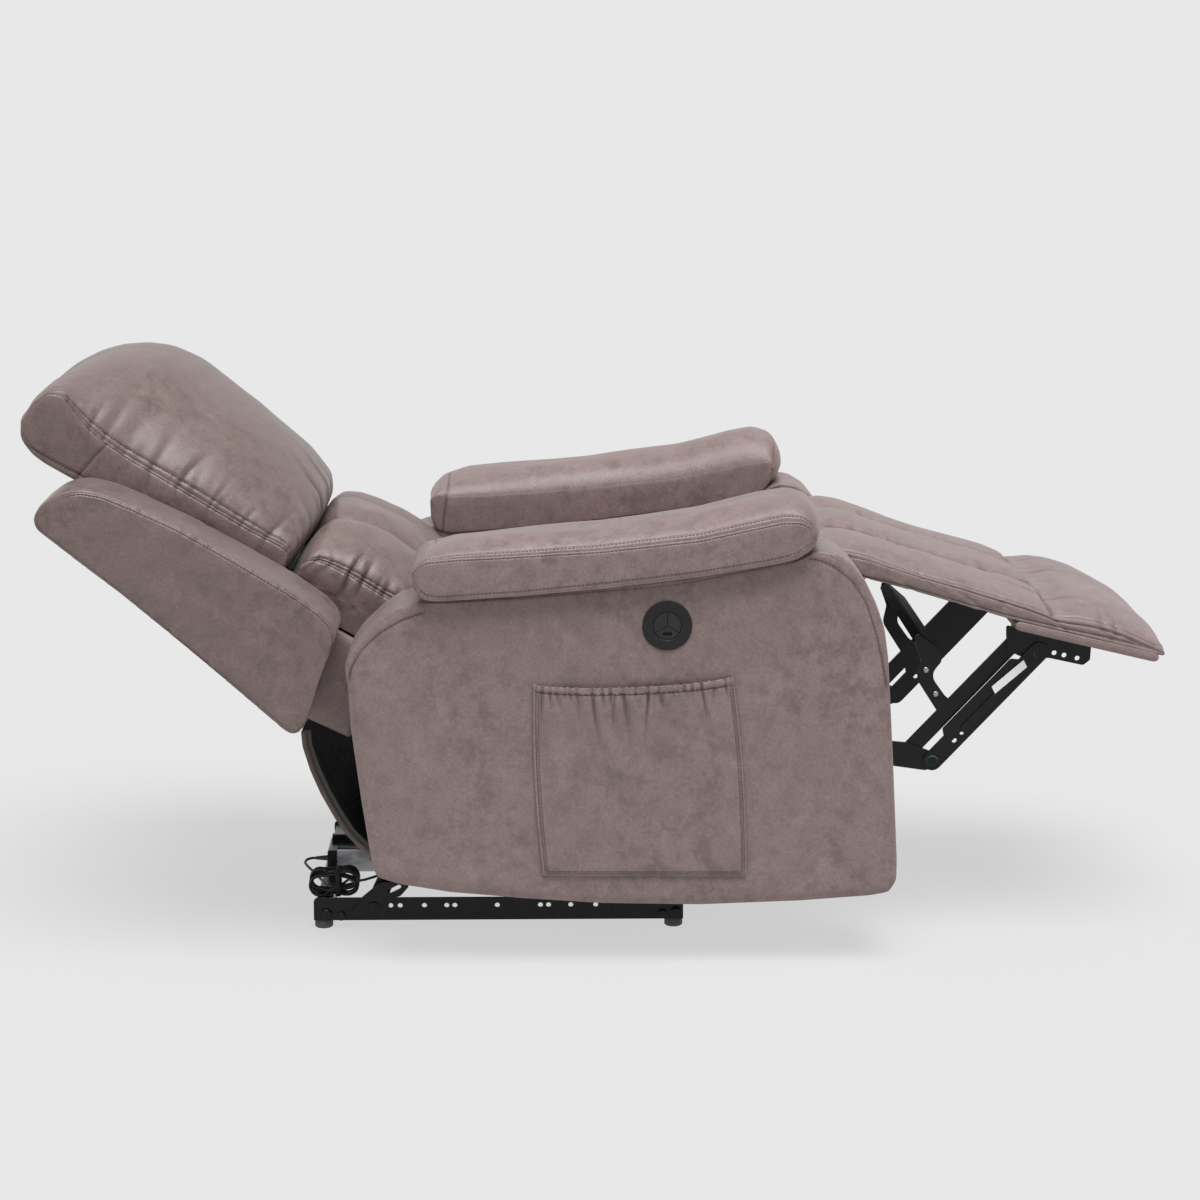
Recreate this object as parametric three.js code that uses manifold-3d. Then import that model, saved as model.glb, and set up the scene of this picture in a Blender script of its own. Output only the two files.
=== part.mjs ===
// Power recliner armchair, drawn in its reclined position with the legrest out.
// Units are millimetres. +X points forwards, +Y to the sitter's left, +Z up from the floor.
// Side-view sizes are [x, z] pairs in a layout frame; the finished chair is slid along X at
// the end, so that its origin is the middle of its footprint.

import * as THREE from 'three';
import { mergeVertices } from 'three/addons/utils/BufferGeometryUtils.js';
import Module from 'manifold-3d';

const wasm = await Module();
wasm.setup();

// ---------------------------------------------------------------- driving dimensions

const SEAT_WIDTH = 550; // clear width between the arms
const ARM_WIDTH = 145; // thickness of one arm
const ARM_PAD_OVERHANG = 25; // arm pad beyond the arm's outer face
const ARM_PAD_INSET = 2; // arm pad inside the arm's inner face
const SIDE_CLEARANCE = 3; // upholstery to arm, where the back or legrest moves past it
const SEAT_GAP = 0.3; // gap left between pieces that rest on each other

const PLATE = 4; // mechanism plate thickness
const PLATE_GAP = 0.5; // running gap between neighbouring plates
const MECHANISM_INSET = 53.5; // from an arm's inner face to the inner face of the seat plate beside it
const PIVOT_PIN_R = 5;
const PIVOT_HEAD_R = 8;
const PIVOT_HEAD_T = 3;
const PIN_CLEARANCE = 0.4; // radial, pin to hole

const FOOT_R = 13.5;
const FOOT_HEIGHT = 13;
const FOOT_INSET = 14; // foot centre from the rail's end

const RAIL_REAR_X = -341;
const RAIL_LENGTH = 548;
const RAIL_HEIGHT = 34;
const RAIL_FLANGE = 30;
const RAIL_HOLE_R = 3.8;
const RAIL_HOLE_HEIGHT = 22; // hole centres above the rail's underside

const CROSS_TUBE = 25; // outer side of the square cross tubes
const CROSS_TUBE_WALL = 2.5;
const CROSS_TUBE_INSET = 3; // from the rail's ends to the tubes

const SWING_LINK = 150; // pivot to pivot
const SWING_LEAN = THREE.MathUtils.degToRad(25); // forward lean when reclined
const SWING_REAR_X = -252; // rear base pivot
const SWING_SPACING = 362; // between the front and rear pivots
const SWING_PIVOT_HEIGHT = 21; // base pivots above the rail's underside
const LINK_HALF = 13; // half width of a link bar
const LINK_WEB = 23; // reach of the outer link's wide side from its middle line

const BACK_HINGE = [-130, 330];
const BACK_LEAN = THREE.MathUtils.degToRad(60); // back from upright, reclined
const BACK_FRAME_DEPTH = 30; // hinge line to the front of the back frame
const BACK_PANEL_T = 6;
const LEGREST_HINGE = [529, 443.5]; // centre that the legrest turns about
const LONG_LINK = [154, 163.5]; // lower pivot to upper pivot of a long link
const LOWER_LINK = [163, -14.5]; // seat pivot to the inner long link's lower pivot
const LINK_OFFSET = [35, -13]; // inner to outer long link

const SEAT_PLATE_REACH = 43; // seat plate's rear edge behind its rear swing pivot
const SEAT_PLATE_DROP = 58; // its rear foot below that pivot
const STRETCHER_T = 18;
const STRETCHER_HEIGHT = 38;
const CURTAIN_T = 3;

const DECK_REAR = [50, 392]; // top rear corner of the seat's rear rail
const DECK_FRONT = [425, 473]; // top rear corner of the seat's front rail
const DECK_RAIL_T = [25, 35]; // rail thickness along X, rear and front
const DECK_RAIL_HEIGHT = [62, 73];
const SPRING_WIRE_R = 2;
const SPRING_COUNT = 3;
const SPRING_WAVES = 8;
const SPRING_SWING = 22;
const SPRING_LEAD = 0.02; // straight share of a spring's length at each end

const CUSHION_SWEEP_R = 190; // hollow at the seat cushion's rear end, about the back hinge
const CUSHION_SWEEP_GAP = 3;

const BOARD_T = 16;
const BOARD_REAR = [694, 468]; // footrest board, top rear corner
const BOARD_LENGTH = 212;
const BOARD_SLOPE = THREE.MathUtils.degToRad(-13.3);

const CONTROL_CENTRE = [174, 491];
const CONTROL_R = 35;
const CONTROL_FLANGE = 3;
const CONTROL_BODY_R = 29;
const CONTROL_DEPTH = 24;
const CONTROL_WELL_R = 20;
const CONTROL_WELL_DEPTH = 9;
const BUTTON_TRAVEL = 1.2;
const KEY_GAP = 0.8; // between neighbouring keys
const KEY_STAND = 1; // keys below the flange's face
const USB_SLOT = [12.6, 5]; // width and height of the charging slot
const USB_DEPTH = 8;

const POCKET_STAND = 12; // pocket front from the arm's face
const POCKET_SHEET = 3;
const POCKET_BORDER = 8;

const ACTUATOR_Y = -50;
const ACTUATOR_WIDTH = 36;
const ACTUATOR_HEIGHT = 32;
const ACTUATOR_REAR_X = -317;
const ACTUATOR_SLOT = 12;
const MOTOR_R = 22;
const MOTOR_LENGTH = 118;
const GEARBOX_T = 14;
const DRIVE_TUBE_R = 8;
const DRIVE_TUBE_AT = [40, 168];
const CARRIAGE_LENGTH = 60;
const CARRIAGE_PLAY = 1.8; // drive tube to the carriage slot's sides

const CORD_R = 2;
const HANK_TURNS = 9;
const HANK_PITCH = 4.6;
const HANK_LENGTH = 76;
const HANK_HEIGHT = 42;
const HANK_X = -312;
const HANK_Y = -199;

// ---------------------------------------------------------------- places that follow

const ARM_INNER = SEAT_WIDTH / 2;
const ARM_OUTER = ARM_INNER + ARM_WIDTH;
const BODY_HALF = ARM_INNER - SIDE_CLEARANCE; // half width of the back, seat and legrest
const railUnder = FOOT_HEIGHT + SEAT_GAP;
const railTop = railUnder + RAIL_HEIGHT;
const tubeUnder = railUnder + PLATE + SEAT_GAP;
const tubeTop = tubeUnder + CROSS_TUBE;
const trackUnder = tubeTop + SEAT_GAP;
const trackTop = trackUnder + ACTUATOR_HEIGHT;

// Plates stand side by side in lanes, counted outwards from the seat plates.
const laneIn = (n) => ARM_INNER - MECHANISM_INSET + n * (PLATE + PLATE_GAP);
const laneOut = (n) => laneIn(n) + PLATE;

const add = (p, q) => [p[0] + q[0], p[1] + q[1]];
const sub = (p, q) => [p[0] - q[0], p[1] - q[1]];
const turn = (p, angle) => [
  p[0] * Math.cos(angle) - p[1] * Math.sin(angle),
  p[0] * Math.sin(angle) + p[1] * Math.cos(angle),
];

const swingVector = turn([0, SWING_LINK], -SWING_LEAN);
const baseRear = [SWING_REAR_X, railUnder + SWING_PIVOT_HEIGHT];
const baseFront = add(baseRear, [SWING_SPACING, 0]);
const seatRear = add(baseRear, swingVector);
const seatFront = add(baseFront, swingVector);
const stretcherRear = seatRear[0] - SEAT_PLATE_REACH - SEAT_GAP - STRETCHER_T;

const lowerPivot = sub(LEGREST_HINGE, LONG_LINK);
const innerLow = add(lowerPivot, LOWER_LINK);
const outerLow = add(innerLow, LINK_OFFSET);
const innerTop = add(innerLow, LONG_LINK);
const outerTop = add(outerLow, LONG_LINK);

// ---------------------------------------------------------------- finishes

const finish = (color, roughness, metalness) => () =>
  new THREE.MeshStandardMaterial({ color, roughness, metalness });
const leather = finish(0x87766f, 0.62, 0);
const blackSteel = finish(0x1d1d1f, 0.45, 0.6);
const blackRubber = finish(0x121212, 0.85, 0);
const blackPlastic = finish(0x1b1b1d, 0.4, 0);
const greyPlastic = finish(0x3a3b3e, 0.5, 0);
const timber = finish(0xb08d5f, 0.8, 0);
const lining = finish(0x191819, 0.95, 0);
const alloy = finish(0xb4b6b8, 0.35, 0.9);
const springSteel = finish(0x8d8f92, 0.4, 0.9);

// ---------------------------------------------------------------- shape helpers

/**
 * Points of a closed outline; a corner given as [x, z, radius] is rounded by an arc, which takes
 * up less than half of either edge.
 */
function rounded(corners, steps = 5) {
  const points = [];
  corners.forEach(([x, z, radius = 0], i) => {
    const corner = new THREE.Vector2(x, z);
    const count = corners.length;
    const before = new THREE.Vector2(...corners[(i + count - 1) % count]).sub(corner);
    const after = new THREE.Vector2(...corners[(i + 1) % count]).sub(corner);
    const room = 0.48 * Math.min(before.length(), after.length());
    before.normalize();
    after.normalize();
    const half = Math.acos(THREE.MathUtils.clamp(before.dot(after), -1, 1)) / 2;
    if (!radius || half > Math.PI / 2 - 0.06) {
      points.push(corner);
      return;
    }
    const reach = Math.min(radius / Math.tan(half), room);
    const centre = before.clone().add(after).normalize().multiplyScalar(reach / Math.cos(half));
    centre.add(corner);
    const start = corner.clone().addScaledVector(before, reach).sub(centre);
    const end = corner.clone().addScaledVector(after, reach).sub(centre);
    const sweep = Math.atan2(start.cross(end), start.dot(end));
    for (let k = 0; k <= steps; k += 1) {
      points.push(start.clone().rotateAround(new THREE.Vector2(), (sweep * k) / steps).add(centre));
    }
  });
  return points;
}

/** Points of a bar with round ends about p and q. */
function bar(p, q, radius, steps = 8) {
  const along = Math.atan2(q[1] - p[1], q[0] - p[0]);
  const points = [];
  for (const [end, from] of [[q, along - Math.PI / 2], [p, along + Math.PI / 2]]) {
    for (let k = 0; k <= steps; k += 1) {
      const a = from + (Math.PI * k) / steps;
      points.push(new THREE.Vector2(end[0] + radius * Math.cos(a), end[1] + radius * Math.sin(a)));
    }
  }
  return points;
}

/** A circular hole at [x, z]. */
function hole([x, z], radius, count = 14) {
  const points = [];
  for (let k = 0; k < count; k += 1) {
    const a = (-Math.PI * 2 * k) / count;
    points.push(new THREE.Vector2(x + radius * Math.cos(a), z + radius * Math.sin(a)));
  }
  return new THREE.Path(points);
}

/** A side-view outline carried across the chair from y0 to y1. */
function slab(points, y0, y1, holes = []) {
  const ring = THREE.ShapeUtils.isClockWise(points) ? [...points].reverse() : points;
  const shape = new THREE.Shape(ring);
  shape.holes.push(...holes);
  const low = Math.min(y0, y1);
  const depth = Math.abs(y1 - y0);
  const geometry = new THREE.ExtrudeGeometry(shape, { depth, bevelEnabled: false, curveSegments: 7 });
  return geometry.rotateX(Math.PI / 2).translate(0, low + depth, 0);
}

/** Skin through rings of [x, y, z] points, each with the same number of points, closed at both ends. */
function loft(rings) {
  const count = rings[0].length;
  const index = [];
  for (let s = 0; s + 1 < rings.length; s += 1) {
    for (let i = 0; i < count; i += 1) {
      const a = s * count + i;
      const b = s * count + ((i + 1) % count);
      index.push(a, a + count, b, b, a + count, b + count);
    }
  }
  const flat = (ring) => ring.map(([x, , z]) => new THREE.Vector2(x, z));
  const last = (rings.length - 1) * count;
  const faces = (ring) => THREE.ShapeUtils.triangulateShape(flat(ring), []);
  faces(rings[0]).forEach(([a, b, c]) => index.push(a, b, c));
  faces(rings[rings.length - 1]).forEach(([a, b, c]) => index.push(last + a, last + c, last + b));
  const geometry = new THREE.BufferGeometry();
  geometry.setAttribute('position', new THREE.Float32BufferAttribute(rings.flat(2), 3));
  geometry.setIndex(index);
  return geometry;
}

/** The outline moved inwards by a distance, corner by corner. */
function inset(points, distance) {
  return points.map((p, i) => {
    const before = p.clone().sub(points[(i + points.length - 1) % points.length]).normalize();
    const after = points[(i + 1) % points.length].clone().sub(p).normalize();
    const middle = before.add(after).normalize();
    const reach = distance / Math.max(middle.dot(after), 0.5);
    return [p.x - middle.y * reach, p.y + middle.x * reach];
  });
}

/** A side-view outline carried across the chair from y0 to y1, its side edges rounded. */
function padded(points, y0, y1, radius, segments = 2) {
  const ring = THREE.ShapeUtils.isClockWise(points) ? [...points].reverse() : points;
  const low = Math.min(y0, y1);
  const high = Math.max(y0, y1);
  const edge = [];
  for (let k = 0; k <= segments; k += 1) {
    const a = (Math.PI * k) / (2 * segments);
    edge.push([radius * (1 - Math.sin(a)), radius * (1 - Math.cos(a))]);
  }
  const at = ([into, across], y) => inset(ring, into).map(([x, z]) => [x, y(across), z]);
  return loft([
    ...edge.map((e) => at(e, (across) => low + across)),
    ...[...edge].reverse().map((e) => at(e, (across) => high - across)),
  ]);
}

/** A round pin along Y. */
function pin([x, z], radius, y0, y1, sides = 16) {
  const geometry = new THREE.CylinderGeometry(radius, radius, Math.abs(y1 - y0), sides);
  return geometry.translate(x, (y0 + y1) / 2, z);
}

/** A box from its low and high corners. */
function block([x0, y0, z0], [x1, y1, z1]) {
  const geometry = new THREE.BoxGeometry(x1 - x0, y1 - y0, z1 - z0);
  return geometry.translate((x0 + x1) / 2, (y0 + y1) / 2, (z0 + z1) / 2);
}

/**
 * A cushion: its outline lofted across the chair. section(t) gives the outline's points at the
 * share t of the half width, from -1 to 1, with the same number of points every time.
 */
function cushion(section, halfWidth, stations) {
  return loft(stations.map((t) => section(t).map(([x, z]) => [x, t * halfWidth, z])));
}

function solid(geometry) {
  const bare = geometry.clone();
  bare.deleteAttribute('normal');
  bare.deleteAttribute('uv');
  const merged = mergeVertices(bare, 1e-4);
  const mesh = new wasm.Mesh({
    numProp: 3,
    vertProperties: new Float32Array(merged.attributes.position.array),
    triVerts: new Uint32Array(merged.index.array),
  });
  return new wasm.Manifold(mesh);
}

/** Joins the first shape with the others. */
const joined = (first, ...others) => others.reduce((sum, shape) => sum.add(solid(shape)), solid(first));

/** A manifold's surface as a three.js geometry. */
function surface(manifold) {
  const mesh = manifold.getMesh();
  const geometry = new THREE.BufferGeometry();
  geometry.setAttribute('position', new THREE.Float32BufferAttribute(mesh.vertProperties, 3));
  geometry.setIndex(new THREE.Uint32BufferAttribute(mesh.triVerts, 1));
  return geometry.toNonIndexed();
}

const chair = new THREE.Group();
const sides = [['right', -1], ['left', 1]];

function piece(name, geometry, material, parent = chair) {
  const flat = geometry.index ? geometry.toNonIndexed() : geometry;
  flat.computeVertexNormals();
  const mesh = new THREE.Mesh(flat, material());
  mesh.name = name;
  parent.add(mesh);
}

/** A pivot pin with its head, from the plate it is fixed in to its far end. side is -1 or 1. */
function pivot(at, side, fixed, far) {
  const outwards = Math.sign(far - fixed);
  return [
    pin(at, PIVOT_PIN_R, side * fixed, side * (far + outwards * PIVOT_HEAD_T / 2)),
    pin(at, PIVOT_HEAD_R, side * far, side * (far + outwards * PIVOT_HEAD_T)),
  ];
}
const pivotHole = (at) => hole(at, PIVOT_PIN_R + PIN_CLEARANCE);

// ---------------------------------------------------------------- base frame

function baseRails() {
  const frontX = RAIL_REAR_X + RAIL_LENGTH;
  const holeAt = [114, 128, 164, 197, 209, 272, 336, 348, 381, 418];
  for (const [sideName, side] of sides) {
    const wall = slab(
      rounded([[RAIL_REAR_X, railUnder], [frontX, railUnder], [frontX, railTop, 3], [RAIL_REAR_X, railTop, 6]]),
      side * laneIn(2),
      side * laneOut(2),
      [
        ...holeAt.map((x) => hole([RAIL_REAR_X + x, railUnder + RAIL_HOLE_HEIGHT], RAIL_HOLE_R)),
        pivotHole(baseRear),
        pivotHole(baseFront),
      ],
    );
    const flange = slab(
      rounded([
        [RAIL_REAR_X, railUnder], [frontX, railUnder], [frontX, railUnder + PLATE], [RAIL_REAR_X, railUnder + PLATE],
      ]),
      side * (laneOut(2) - RAIL_FLANGE),
      side * laneOut(2),
    );
    piece(`base_rail_${sideName}`, surface(joined(wall, flange)), blackSteel);

    for (const [endName, x] of [['rear', RAIL_REAR_X + FOOT_INSET], ['front', frontX - FOOT_INSET]]) {
      const profile = [
        [0, 0], [FOOT_R * 0.85, 0], [FOOT_R, 2], [FOOT_R, FOOT_HEIGHT - 3], [FOOT_R * 0.9, FOOT_HEIGHT],
        [0, FOOT_HEIGHT],
      ].map(([r, z]) => new THREE.Vector2(r, z));
      const foot = new THREE.LatheGeometry(profile, 20).rotateX(Math.PI / 2);
      foot.translate(x, side * (laneOut(2) - RAIL_FLANGE / 2), 0);
      piece(`foot_${endName}_${sideName}`, foot, blackRubber);
    }
  }
}

/** Square tube across the base between the upright walls of the rails. */
function crossTube(name, x0) {
  const half = laneIn(2) - SEAT_GAP;
  const outer = rounded([
    [x0, tubeUnder, 3], [x0 + CROSS_TUBE, tubeUnder, 3], [x0 + CROSS_TUBE, tubeTop, 3], [x0, tubeTop, 3],
  ], 2);
  const w = CROSS_TUBE_WALL;
  const bore = new THREE.Path(rounded([
    [x0 + w, tubeUnder + w], [x0 + w, tubeTop - w], [x0 + CROSS_TUBE - w, tubeTop - w],
    [x0 + CROSS_TUBE - w, tubeUnder + w],
  ]));
  piece(name, slab(outer, -half, half, [bore]), blackSteel);
}

/** Curved gusset on the outside of each rail, about the rear swing pivot. */
function rearGussets() {
  const [x, z] = baseRear;
  const outline = rounded([
    [x - 38, z - 14, 6], [x + 20, z - 14, 10], [x + 24, z + 12, 14], [x + 40, z + 17, 6], [x + 54, z + 33, 3],
    [x + 42, z + 38, 8], [x + 10, z + 38, 16], [x - 18, z + 14, 20],
  ]);
  const slot = new THREE.Path(bar([x + 24, z + 24], [x + 38, z + 31], 3.2, 4).reverse());
  for (const [sideName, side] of sides) {
    piece(
      `rear_gusset_${sideName}`,
      slab(outline, side * laneIn(3), side * laneOut(3), [pivotHole(baseRear), slot]),
      blackSteel,
    );
  }
}

// ---------------------------------------------------------------- swing links

function swingLinks() {
  for (const [sideName, side] of sides) {
    for (const [endName, low, high, headLane] of [
      ['front', baseFront, seatFront, 3],
      ['rear', baseRear, seatRear, 4],
    ]) {
      const link = slab(bar(low, high, LINK_HALF), side * laneIn(1), side * laneOut(1));
      const middle = (laneIn(1) + laneOut(1)) / 2;
      piece(
        `${endName}_swing_link_${sideName}`,
        surface(joined(
          link,
          ...pivot(low, side, middle, laneIn(headLane)),
          ...pivot(high, side, middle, laneIn(0) - PLATE_GAP),
        )),
        blackSteel,
      );
    }
  }
}

// ---------------------------------------------------------------- actuator

function actuator() {
  const y0 = ACTUATOR_Y - ACTUATOR_WIDTH / 2;
  const y1 = ACTUATOR_Y + ACTUATOR_WIDTH / 2;
  const frontX = RAIL_REAR_X + RAIL_LENGTH - CROSS_TUBE_INSET;
  const wall = 5;
  const section = [
    [y0, trackUnder], [y1, trackUnder], [y1, trackTop], [ACTUATOR_Y + ACTUATOR_SLOT / 2, trackTop],
    [ACTUATOR_Y + ACTUATOR_SLOT / 2, trackTop - wall], [y1 - wall, trackTop - wall],
    [y1 - wall, trackUnder + wall], [y0 + wall, trackUnder + wall], [y0 + wall, trackTop - wall],
    [ACTUATOR_Y - ACTUATOR_SLOT / 2, trackTop - wall], [ACTUATOR_Y - ACTUATOR_SLOT / 2, trackTop],
    [y0, trackTop],
  ].map(([y, z]) => new THREE.Vector2(y, z));
  const length = frontX - ACTUATOR_REAR_X;
  const track = new THREE.ExtrudeGeometry(new THREE.Shape(section), { depth: length, bevelEnabled: false });
  track.rotateX(Math.PI / 2).rotateZ(Math.PI / 2).translate(ACTUATOR_REAR_X, 0, 0);
  piece('actuator_track', track, alloy);

  const rearX = ACTUATOR_REAR_X - SEAT_GAP - GEARBOX_T;
  const motorY = y1 + 4 + MOTOR_R;
  const gearbox = slab(
    rounded([
      [rearX, trackUnder, 3], [rearX + GEARBOX_T, trackUnder], [rearX + GEARBOX_T, trackTop + 2],
      [rearX, trackTop + 2, 3],
    ]),
    y0 - 2,
    motorY + MOTOR_R - 4,
  );
  const barrel = new THREE.CylinderGeometry(MOTOR_R, MOTOR_R, MOTOR_LENGTH, 24).rotateZ(Math.PI / 2);
  barrel.translate(rearX + 4 + MOTOR_LENGTH / 2, motorY, trackUnder + MOTOR_R);
  piece('actuator_motor', surface(joined(gearbox, barrel)), blackPlastic);

  // The carriage rides on the track. The drive tube passes through its upright slot, which
  // leaves room for the seat to rise as its links swing over.
  const [driveX, driveZ] = DRIVE_TUBE_AT;
  const rise = SWING_LINK * (1 - Math.cos(SWING_LEAN));
  const slotHalf = DRIVE_TUBE_R + CARRIAGE_PLAY;
  const slotLow = driveZ - slotHalf;
  const slotHigh = driveZ + rise + slotHalf;
  const under = trackTop + SEAT_GAP;
  const sole = 8;
  const tower = rounded([
    [driveX - CARRIAGE_LENGTH / 2, under], [driveX + CARRIAGE_LENGTH / 2, under],
    [driveX + CARRIAGE_LENGTH / 2, under + sole, 2], [driveX + slotHalf + 9, under + sole + 10],
    [driveX + slotHalf + 7, slotHigh + 8, 6], [driveX - slotHalf - 7, slotHigh + 8, 6],
    [driveX - slotHalf - 9, under + sole + 10], [driveX - CARRIAGE_LENGTH / 2, under + sole, 2],
  ]);
  const slot = new THREE.Path(rounded([
    [driveX - slotHalf, slotLow, 4], [driveX - slotHalf, slotHigh, 4], [driveX + slotHalf, slotHigh, 4],
    [driveX + slotHalf, slotLow, 4],
  ]));
  const thick = ACTUATOR_WIDTH / 2 - 4;
  piece('actuator_carriage', slab(tower, ACTUATOR_Y - thick, ACTUATOR_Y + thick, [slot]), blackPlastic);
}

// ---------------------------------------------------------------- control lead

function tube(points, radius, sidesCount, steps) {
  const path = new THREE.CatmullRomCurve3(points.map((p) => new THREE.Vector3(...p)));
  const section = new THREE.Shape();
  section.absarc(0, 0, radius, 0, Math.PI * 2);
  const ring = new THREE.Shape(section.getPoints(sidesCount).slice(0, sidesCount));
  return new THREE.ExtrudeGeometry(ring, { steps, extrudePath: path });
}

const reliefLength = 19;
const cordZ = trackUnder + 17;
const gearboxRear = ACTUATOR_REAR_X - SEAT_GAP - GEARBOX_T;
const cordStartX = gearboxRear - SEAT_GAP - reliefLength - SEAT_GAP;
const hankUnder = tubeTop + SEAT_GAP;
const hankHalfY = (HANK_TURNS * HANK_PITCH) / 2;

function controlLead() {
  const relief = new THREE.CylinderGeometry(CORD_R + 0.6, CORD_R + 2.4, reliefLength, 14);
  relief.rotateZ(Math.PI / 2);
  relief.translate(gearboxRear - SEAT_GAP - reliefLength / 2, ACTUATOR_Y, cordZ);
  piece('lead_strain_relief', relief, blackRubber);

  piece('control_lead_tail', tube([
    [cordStartX, ACTUATOR_Y, cordZ], [cordStartX - 7, ACTUATOR_Y - 1, cordZ], [-364, -60, 60],
    [-366, -74, 59], [-360, -90, 57], [-351, -106, 54], [-342, -122, 51], [-334, -138, 49],
    [-328, -152, 48.5], [-322, -166, 50], [-318, HANK_Y + hankHalfY + 4, 52],
    [-316, HANK_Y + hankHalfY + SEAT_GAP, 53],
  ], CORD_R, 8, 34), blackRubber);

  const hankMid = hankUnder + HANK_HEIGHT / 2;
  const hankReach = HANK_LENGTH / 2 - HANK_HEIGHT / 2;
  piece(
    'control_lead_hank',
    slab(
      bar([HANK_X - hankReach, hankMid], [HANK_X + hankReach, hankMid], HANK_HEIGHT / 2, 8),
      HANK_Y - hankHalfY,
      HANK_Y + hankHalfY,
    ),
    blackRubber,
  );

  piece('control_lead_return', tube([
    [-292, HANK_Y + hankHalfY + SEAT_GAP, 53], [-290, HANK_Y + hankHalfY + 6, 53], [-282, -160, 51.5],
    [-270, -146, 50.5], [-256, -130, 51], [-242, -114, 53], [-229, -98, 56], [-219, -84, 58],
    [-214, -75, 59], [-213, ACTUATOR_Y - ACTUATOR_WIDTH / 2 - SEAT_GAP, 59.3],
  ], CORD_R, 8, 26), blackRubber);
}

// ---------------------------------------------------------------- seat frame

function seatPlates() {
  const [sx, sz] = seatRear;
  const [fx] = seatFront;
  const [ax, az] = lowerPivot;
  const [hx, hz] = BACK_HINGE;
  const frontUnder = DECK_FRONT[1] - DECK_RAIL_HEIGHT[1] - SEAT_GAP;
  const rearUnder = DECK_REAR[1] - DECK_RAIL_HEIGHT[0] - SEAT_GAP;
  const railFront = DECK_FRONT[0] + DECK_RAIL_T[1];
  const outline = rounded([
    [sx - SEAT_PLATE_REACH, sz - SEAT_PLATE_DROP], [sx - 8, sz - SEAT_PLATE_DROP, 8], [sx + 14, sz - 20, 20], [fx, sz - 20, 30],
    [ax - 10, az - 18, 10], [ax + LINK_HALF, az - 14, 8], [ax + LINK_HALF, az + 14, 8],
    [ax + 4, az + 40, 20], [ax + 26, frontUnder - 26, 20], [railFront, frontUnder - 20, 6],
    [railFront, frontUnder], [ax - 20, frontUnder, 30], [DECK_REAR[0] + 60, rearUnder, 40],
    [DECK_REAR[0] - 30, rearUnder, 30], [hx + 30, hz + 12, 20], [hx, hz + 20, 12], [hx - 18, hz, 12],
    [sx - 24, sz + 10, 30], [sx - SEAT_PLATE_REACH, sz - 18, 10],
  ]);
  for (const [sideName, side] of sides) {
    piece(
      `seat_plate_${sideName}`,
      slab(outline, side * laneIn(0), side * laneOut(0), [
        pivotHole(seatRear), pivotHole(seatFront), pivotHole(lowerPivot), pivotHole(BACK_HINGE),
      ]),
      blackSteel,
    );
  }
}

function seatFrame() {
  const half = ARM_INNER - SEAT_GAP;
  const rails = [['rear', DECK_REAR, 0], ['front', DECK_FRONT, 1]];
  for (const [name, [x, z], i] of rails) {
    piece(
      `seat_${name}_rail`,
      block([x, -half, z - DECK_RAIL_HEIGHT[i]], [x + DECK_RAIL_T[i], half, z]),
      timber,
    );
  }
  // The stretcher ties the seat plates together at the rear and carries the curtain's foot.
  piece(
    'rear_stretcher',
    block(
      [stretcherRear, -laneOut(0), seatRear[1] - SEAT_PLATE_DROP],
      [stretcherRear + STRETCHER_T, laneOut(0), seatRear[1] - SEAT_PLATE_DROP + STRETCHER_HEIGHT],
    ),
    timber,
  );
  const driveHalf = laneIn(0) - SEAT_GAP;
  piece('drive_tube', pin(DRIVE_TUBE_AT, DRIVE_TUBE_R, -driveHalf, driveHalf, 20), blackSteel);
}

/** Zigzag springs from rail to rail, just under the cushion; their ends run straight into the rails. */
function seatSprings() {
  const drop = SPRING_WIRE_R + 2 * SEAT_GAP;
  const x0 = DECK_REAR[0] + DECK_RAIL_T[0] + SEAT_GAP;
  const x1 = DECK_FRONT[0] - 2 * SEAT_GAP;
  const spacing = SEAT_WIDTH / (SPRING_COUNT + 1);
  const at = (share, y) => [
    x0 + share * (x1 - x0),
    y,
    DECK_REAR[1] + share * (DECK_FRONT[1] - DECK_REAR[1]) - drop,
  ];
  for (let i = 0; i < SPRING_COUNT; i += 1) {
    const y = (i - (SPRING_COUNT - 1) / 2) * spacing;
    const points = [at(0, y), at(SPRING_LEAD, y)];
    const bends = SPRING_WAVES * 4;
    for (let k = 1; k < bends; k += 1) {
      const share = k / bends;
      const swing = SPRING_SWING * Math.sin(share * SPRING_WAVES * Math.PI * 2);
      points.push(at(2 * SPRING_LEAD + share * (1 - 4 * SPRING_LEAD), y + swing));
    }
    points.push(at(1 - SPRING_LEAD, y), at(1, y));
    piece(`seat_spring_${i + 1}`, tube(points, SPRING_WIRE_R, 6, 60), springSteel);
  }
}

// ---------------------------------------------------------------- seat cushion and legrest pad

/** How far a pad's top lies below its crest: rounded edges and two sewn channels. */
const channelDrop = (t, edge, channel) =>
  edge * Math.abs(t) ** 5 + channel * Math.exp(-(((Math.abs(t) - 0.36) / 0.045) ** 2));
const STATIONS = [-1, -0.97, -0.88, -0.7, -0.5, -0.42, -0.36, -0.3, -0.18, 0,
  0.18, 0.3, 0.36, 0.42, 0.5, 0.7, 0.88, 0.97, 1];

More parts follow.
